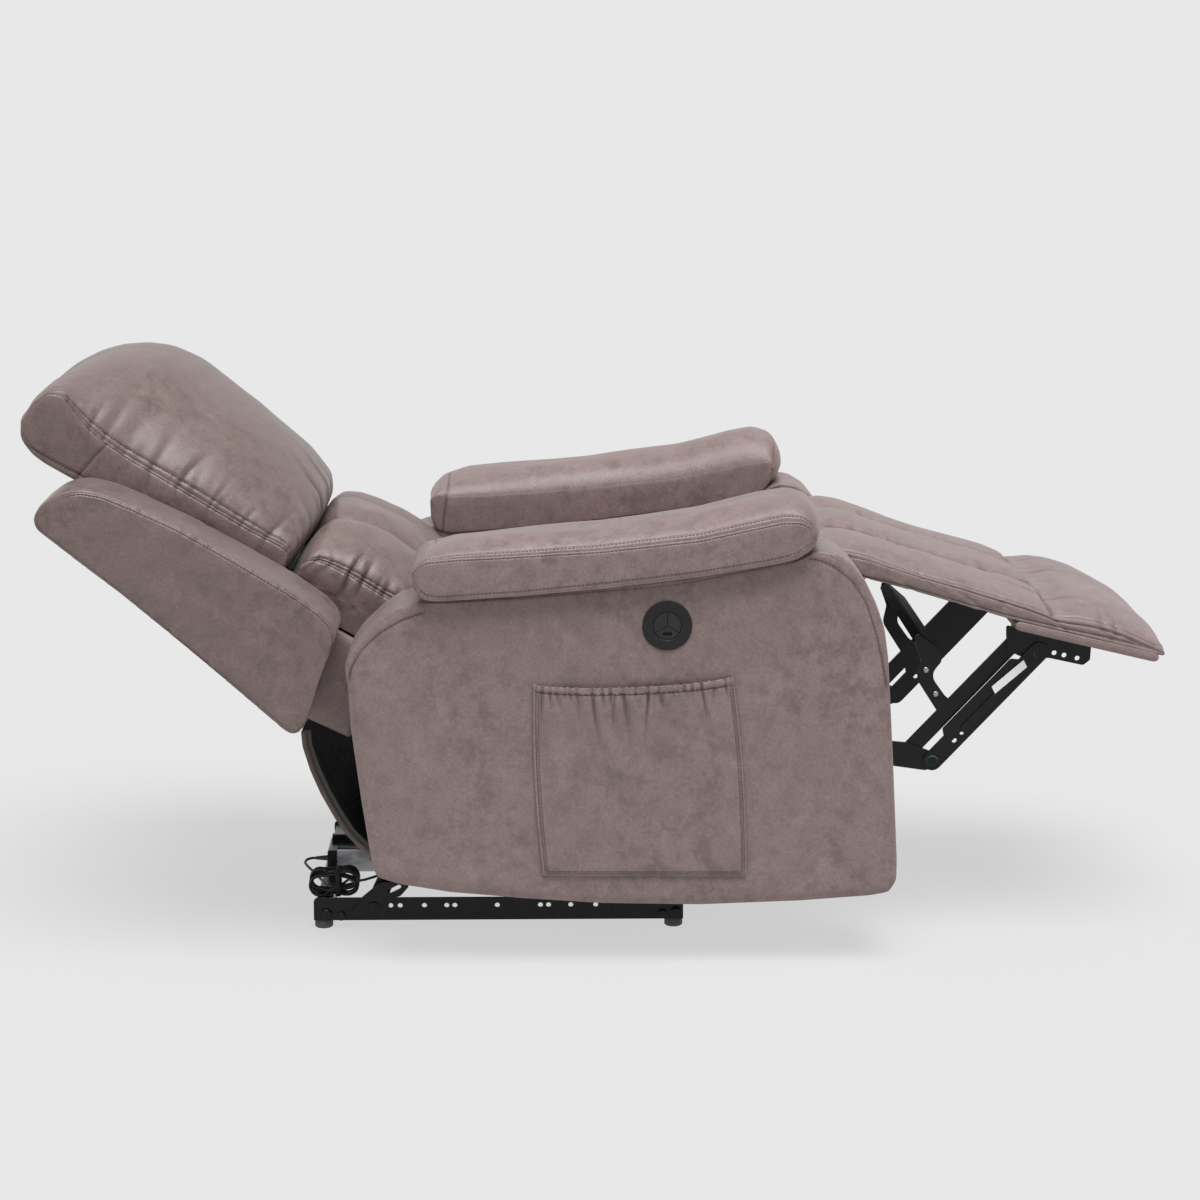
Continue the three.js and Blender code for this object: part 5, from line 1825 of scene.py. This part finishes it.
        # The pillow and the lumbar pad wear the darker copy of the hide: painted shade.
        show(pillow, self.layout, "back", "head_pillow", finish=HIDE_SHADED)
        lumbar = SoftForm(
            "lumbar_cover", self.lumbar, (4, 15), 4 - self.half, self.half - 4, crown=(3.0, 0.6),
            bulge=1.2, reach=5.0, around=360, across=190, panel=24, relief=self.lumbar_relief,
            leaning=True,
        )
        show(lumbar, self.layout, "back", "lumbar_pad", finish=HIDE_SHADED)
        runs = []
        for sign in (-1, 1):
            for v in (0.9888, 4.0):
                runs.append(pillow.trace(sign * v, (96, 335), (133, 714)))
                runs.append(lumbar.trace(sign * v, (108, 120), (98, 294)))
            runs.append(pillow.trace(sign * 9.5, (45, 736), (31, 650)))
        sew("back_stitches", "back", runs)

    def side_wing(self, side: Side) -> None:
        """One wing and its stitches.

        Args:
            side: which wing.
        """
        low, high = side.span(self.wing_in, self.wing_out)
        wing = SoftForm(
            f"wing_cover_{side.tag}", self.wing, (3, 17), low + 3, high - 3, crown=(7.0, 0.6),
            bulge=3.0, reach=5.0, around=420, across=76, panel=40, relief=self.wing_relief,
            leaning=True,
        )
        # The wing wears the darker copy of the hide: painted shade.
        show(wing, self.layout, "back", f"wing_{side.tag}", finish=HIDE_SHADED)
        run = wing.trace(side.value * 4.4, (30, 208), (10, 650))
        sew(f"wing_stitches_{side.tag}", "back", [run])

    def build(self) -> None:
        """All of the back."""
        self.padding()
        for side in Side:
            self.side_wing(side)
        for name, outline, node, edge in (
            ("back_frame_cover", self.frame, "back_frame", 4.0),
            ("back_panel_cover", self.panel, "back_panel", 1.5),
        ):
            form = SoftForm(
                name, inset_rows(outline, edge), (0, 4), -HALF + edge, HALF - edge, crown=(30.0, 0.5),
                bulge=edge, reach=3.0, around=240, across=60, panel=8, leaning=True,
            )
            show(form, self.layout, "back", node)


@dataclass
class SidePocket(Part):
    """Gathered pocket on the right arm's outer face.

    Args:
        corners: top left, top right, bottom right and bottom left, (x, z).
        wide: width that the gathers and the edges are measured over, in mm.
        tall: height that they are measured over, in mm.
        face: |y| of the arm's face.
        stand: how far the mouth stands out, in mm.
        sag: how far the drawn edge sinks between its ends, in mm.
        bow: how far the sides bend outwards, in mm.
        band: height of the casing round the elastic, in mm.
        thick: cloth thickness, in mm.
        grid: points across and up.
        drawn: gathers below the casing.
    """

    corners: Pairs = ((-14, 409), (267, 419), (288, 129), (-1, 131))
    wide: float = 285.0
    tall: float = 280.0
    face: float = 420.9
    stand: float = 8.5
    sag: float = 9.0
    bow: float = 5.0
    band: float = 10.0
    thick: float = 2.0
    grid: tuple[int, int] = (300, 170)
    drawn: Gathers = Gathers(30, 3.4, (12, 110), (1.6, 4.6), 83)

    def outline(self, u: Array, w: Array) -> Array:
        """The pocket's grid on the arm's face.

        Args:
            u: share of the width from the rear side.
            w: share of the height from the foot.

        Returns:
            (x, z) of each point.
        """
        tl, tr, br, bl = (np.array(c, float) for c in self.corners)
        top = tl + (tr - tl) * u[..., None]
        bottom = bl + (br - bl) * u[..., None]
        flat = bottom + (top - bottom) * w[..., None]
        flat[..., 0] += self.bow * np.sin(math.pi * w) * (2 * u - 1)
        frill = 0.9 * ripple(self.wide * u + 0 * w, 11.0, 86) * np.exp(-self.tall * (1 - w + 0 * u) / 7)
        flat[..., 1] -= self.sag * np.sin(math.pi * u) ** 0.6 * w**3 - frill
        return flat

    def relief(self, flat: Array, x: Array, down: Array, edge: Array) -> Array:
        """Gathers, the ruffled casing with its hem, soft waves, and the row along the sewn rim.

        Args:
            flat: (x, z) of each point.
            x: distance from the rear side, in mm.
            down: distance from the mouth, in mm.
            edge: distance to the nearest sewn edge, in mm.

        Returns:
            The height in mm.
        """
        drawn = self.drawn.relief(x, np.clip(down - self.band, 0, None), self.wide)
        casing = 0.8 * ripple(x, 7.5, 84) * np.exp(-((down / (self.band + 1)) ** 6))
        hem = 1.7 * np.exp(-(((down - self.band / 2) / 4.4) ** 2)) + groove(down - self.band - 1, 1.6, 1.3)
        soft = 0.8 * lumps(np.stack([flat[..., 0], 0 * x, flat[..., 1]], axis=-1), 90.0, 87)
        return (drawn + casing + hem + soft) * np.clip(edge / 10, 0, 1) + groove(edge - 5.0, 1.7, 1.0)

    def build(self) -> None:
        """A grid over the pocket: it stands out at the mouth and lies down at its sewn edges."""
        u = np.linspace(0, 1, self.grid[0])[None, :]
        w = np.linspace(0, 1, self.grid[1])[:, None] ** 0.85
        flat = self.outline(u, w)
        x = u * self.wide + 0 * w
        down = (1 - w) * self.tall + 0 * u
        edge = np.minimum(np.minimum(x, (1 - u) * self.wide), w * self.tall)
        out = self.stand * np.sin(math.pi * u) ** 0.7 * (0.12 + 0.88 * w**2.4)
        out = out * np.clip(edge / 30, 0, 1) ** 0.6
        wave = self.relief(flat, x, down, edge)
        height = np.clip(3.0 + out + wave, 0.9, 11.2)
        sheets = []
        for rise in (height, np.clip(height - self.thick, 0.1, None)):
            sheets.append(self.layout.row(flat[..., 0], -(self.face + rise), flat[..., 1]))
        obj = sheet_solid("side_pocket_pouch", *sheets)
        # The hide paints shade into these valleys and highlight on the ridges.
        crease = creases(wave, 3, False).ravel()
        keep_creases(obj, np.concatenate([crease, 0 * crease]))
        HIDE.dress(obj)
        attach(obj, "seat")
        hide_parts("side_pocket")
        self.stitch(sheets[0] + np.array([0.0, -0.0003, 0.0]), down[:, 0])
        LOG.info("side_pocket_pouch")

    def stitch(self, lifted: Array, down: Array) -> None:
        """Two rows round the sewn edges and one below the casing.

        Args:
            lifted: the outer face's points, just above it.
            down: distance of each of their rows from the mouth, in mm.
        """
        runs = []
        for k in (4, 8):
            j = int(np.abs(self.tall - down - k * 0.95).argmin())
            runs.append(np.concatenate([lifted[j:-6, k][::-1], lifted[j, k:-k], lifted[j:-6, -k]]))
        runs.append(lifted[int(np.abs(down - self.band - 1).argmin()), 8:-8])
        sew("side_pocket_stitches", "seat", [face_run(path, Side.RIGHT) for path in runs], 4.6)


@dataclass
class Curtain(Part):
    """Black lining that closes the rear under the back.

    Args:
        line: outer side line from the top to the foot, (x, z).
        half: half its width.
        thick: cloth thickness, in mm.
        rows: points along the line.
        bend: layout points at which its bend begins and ends; not used.
        trims: kind, finish, how far inside the cloth's edge it begins and ends, lift and thickness.
    """

    line: Pairs = (
        (-352, 309), (-350, 286), (-339, 250), (-324, 214), (-306, 180), (-288, 152), (-271, 134),
        (-254, 120), (-253, 113),
    )
    half: float = 269.5
    thick: float = 1.6
    rows: int = 90
    bend: Pairs = ((-262, 0, 128), (-352, 0, 306))
    trims: Sequence[tuple[str, Finish, float, float, float, float]] = (
        ("hem", HEM, -0.6, 3.4, -0.6, 7.2),
        ("tape", WEBBING, 4.0, 7.0, 2.2, 10.8),
    )

    def band(self, name: str, across: tuple[float, float], lift: float, thick: float) -> bpy.types.Object:
        """A band of the cloth, lifted off its line, with slight hanging folds.

        Args:
            name: the piece's name.
            across: its lowest and highest y.
            lift: how far it lies off the line, in mm.
            thick: its thickness, in mm.

        Returns:
            The band.
        """
        low, high = across
        line = open_curve(self.line, self.rows, 1.2)
        t = np.gradient(line, axis=0)
        t /= np.linalg.norm(t, axis=1, keepdims=True)
        y = np.linspace(low, high, max(4, int((high - low) / 4.5)))[None, :]
        share = np.linspace(0, 1, self.rows)[:, None]
        fold = 1.1 * ripple(y + 20 * share, 70.0, 91) * np.sin(math.pi * share) ** 2
        sheets = []
        for off in (lift, lift + thick):
            d = fold + off
            sheets.append(self.layout.row(line[:, :1] - t[:, 1:] * d, y, line[:, 1:] + t[:, :1] * d))
        return sheet_solid(name, *sheets)

    def build(self) -> None:
        """The cloth, its turned hems and its edge tapes."""
        cloth = self.band("rear_curtain_cloth", (-self.half, self.half), 0.2, self.thick)
        LINING.dress(cloth)
        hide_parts("rear_curtain")
        trims = []
        for side in Side:
            for kind, finish, near, far, lift, thick in self.trims:
                across = side.span(self.half - near, self.half - far)
                trim = self.band(f"curtain_{kind}_{side.tag}", across, lift, thick)
                finish.dress(trim)
                trims.append(trim)
        start, end = self.layout.points(self.bend)
        for obj in [cloth, *trims]:
            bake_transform(obj)
        steps = np.diff(open_curve(self.line, self.rows, 1.2), axis=0)


# ---------------------------------------------------------------- hardware


@dataclass
class Hardware(Part):
    """Finishes for the mechanism's own nodes, and its small parts.

    Args:
        finishes: each finish with the beginnings of the node names that it dresses.
        sticker: centre, half length and half width of the blank sticker, in mm.
        slope: the outer link's angle, in degrees.
        skew: how far the sticker's ends slant, in mm.
        small: round parts: name, finish, (x, z), inner |y|, thickness, radius, body.
    """

    finishes: Sequence[tuple[Finish, tuple[str, ...]]] = (
        (STEEL, (
            "base_rail", "rear_cross", "front_cross", "rear_gusset", "front_swing", "rear_swing",
            "seat_plate", "drive_tube", "back_bracket", "ottoman", "lower_link", "inner_link", "outer_link",
        )),
        (RUBBER, ("foot_", "lead_strain")),
        (ALLOY, ("actuator_track",)),
        (SHELL, ("actuator_motor", "actuator_carriage", "control_housing")),
        (TIMBER, ("seat_rear", "seat_front", "rear_stretcher")),
        (WIRE, ("seat_spring",)),
        (KEYS, ("usb_socket", "button_")),
        (ENAMEL_DARK, ("torque",)),
    )
    sticker: tuple[float, float, float, float] = (683.5, 379.5, 32.0, 5.8)
    slope: float = 40.7
    skew: float = 3.0
    small: Sequence[tuple] = (
        ("upper_washer", NYLON, (727, 416), 239.2, 1.1, 8.6, "legrest"),
        ("lower_washer", NYLON, (573, 252.5), 239.2, 1.1, 8.6, "lower_links"),
        ("upper_clip", ZINC, (562, 388), 230.1, 2.2, 4.4, "inner_links"),
        ("lower_clip", ZINC, (577, 352), 230.1, 2.2, 4.4, "inner_links"),
        ("rail_bolt_a", STEEL, (-322, 23), 234.7, 4.2, 8.0, "base"),
        ("rail_bolt_b", STEEL, (-300, 20), 234.7, 4.2, 6.5, "base"),
        ("rail_bolt_c", STEEL, (176, 22), 234.7, 4.2, 6.5, "base"),
        ("rail_bolt_d", STEEL, (196, 24), 234.7, 4.2, 8.0, "base"),
    )

    def build(self, nodes: dict[str, bpy.types.Object]) -> None:
        """Dresses the nodes that stay, and adds the small round parts and the sticker.

        Args:
            nodes: the frame's nodes by name.
        """
        for name, obj in nodes.items():
            for finish, beginnings in self.finishes:
                if name.startswith(beginnings):
                    finish.dress(obj)
        for side in Side:
            for kind, finish, at, near, thick, r, body in self.small:
                y, end = side.value * near, side.value * (near + thick)
                profile = ((r * 0.62, y), (r * 0.96, y), (r, (y + end) / 2), (r * 0.94, end), (2.0, end))
                part = turned(self.layout, f"{kind}_{side.tag}", at, profile)
                finish.dress(part)
                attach(part, body)
        self.label()

    def label(self) -> None:
        """A blank white sticker along the rib of the right outer link."""
        x, z, long, wide = self.sticker
        c, s = math.cos(math.radians(self.slope)), math.sin(math.radians(self.slope))
        corners = [(-long, -wide), (long - self.skew, -wide), (long, wide), (-long + self.skew, wide)]
        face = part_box("outer_link_right")[0].y * 1000
        rings = []
        for y in (face - 0.08, face - 0.26):
            ring = [(x + u * c - v * s, y, z + u * s + v * c) for u, v in corners]
            rings.append(self.layout.points(ring))
        verts, faces = closed_skin(np.stack(rings))
        sticker = face_out(make_object("blank_sticker", verts, faces, smooth=False))
        LABEL.dress(sticker)
        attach(sticker, "outer_links")


def main() -> None:
    """Builds the scene in order: frame, camera, lead, soft goods, hardware, studio."""
    logging.basicConfig(level=logging.INFO, format="%(message)s")
    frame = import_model()
    layout = Layout.from_frame()
    studio = Studio()
    studio.camera(layout)
    for part in (ControlLead, Arms, Chaise, Back, SidePocket, Curtain):
        part(layout).build()
    Hardware(layout).build(frame["nodes"])
    studio.build()


if __name__ == "__main__":
    main()
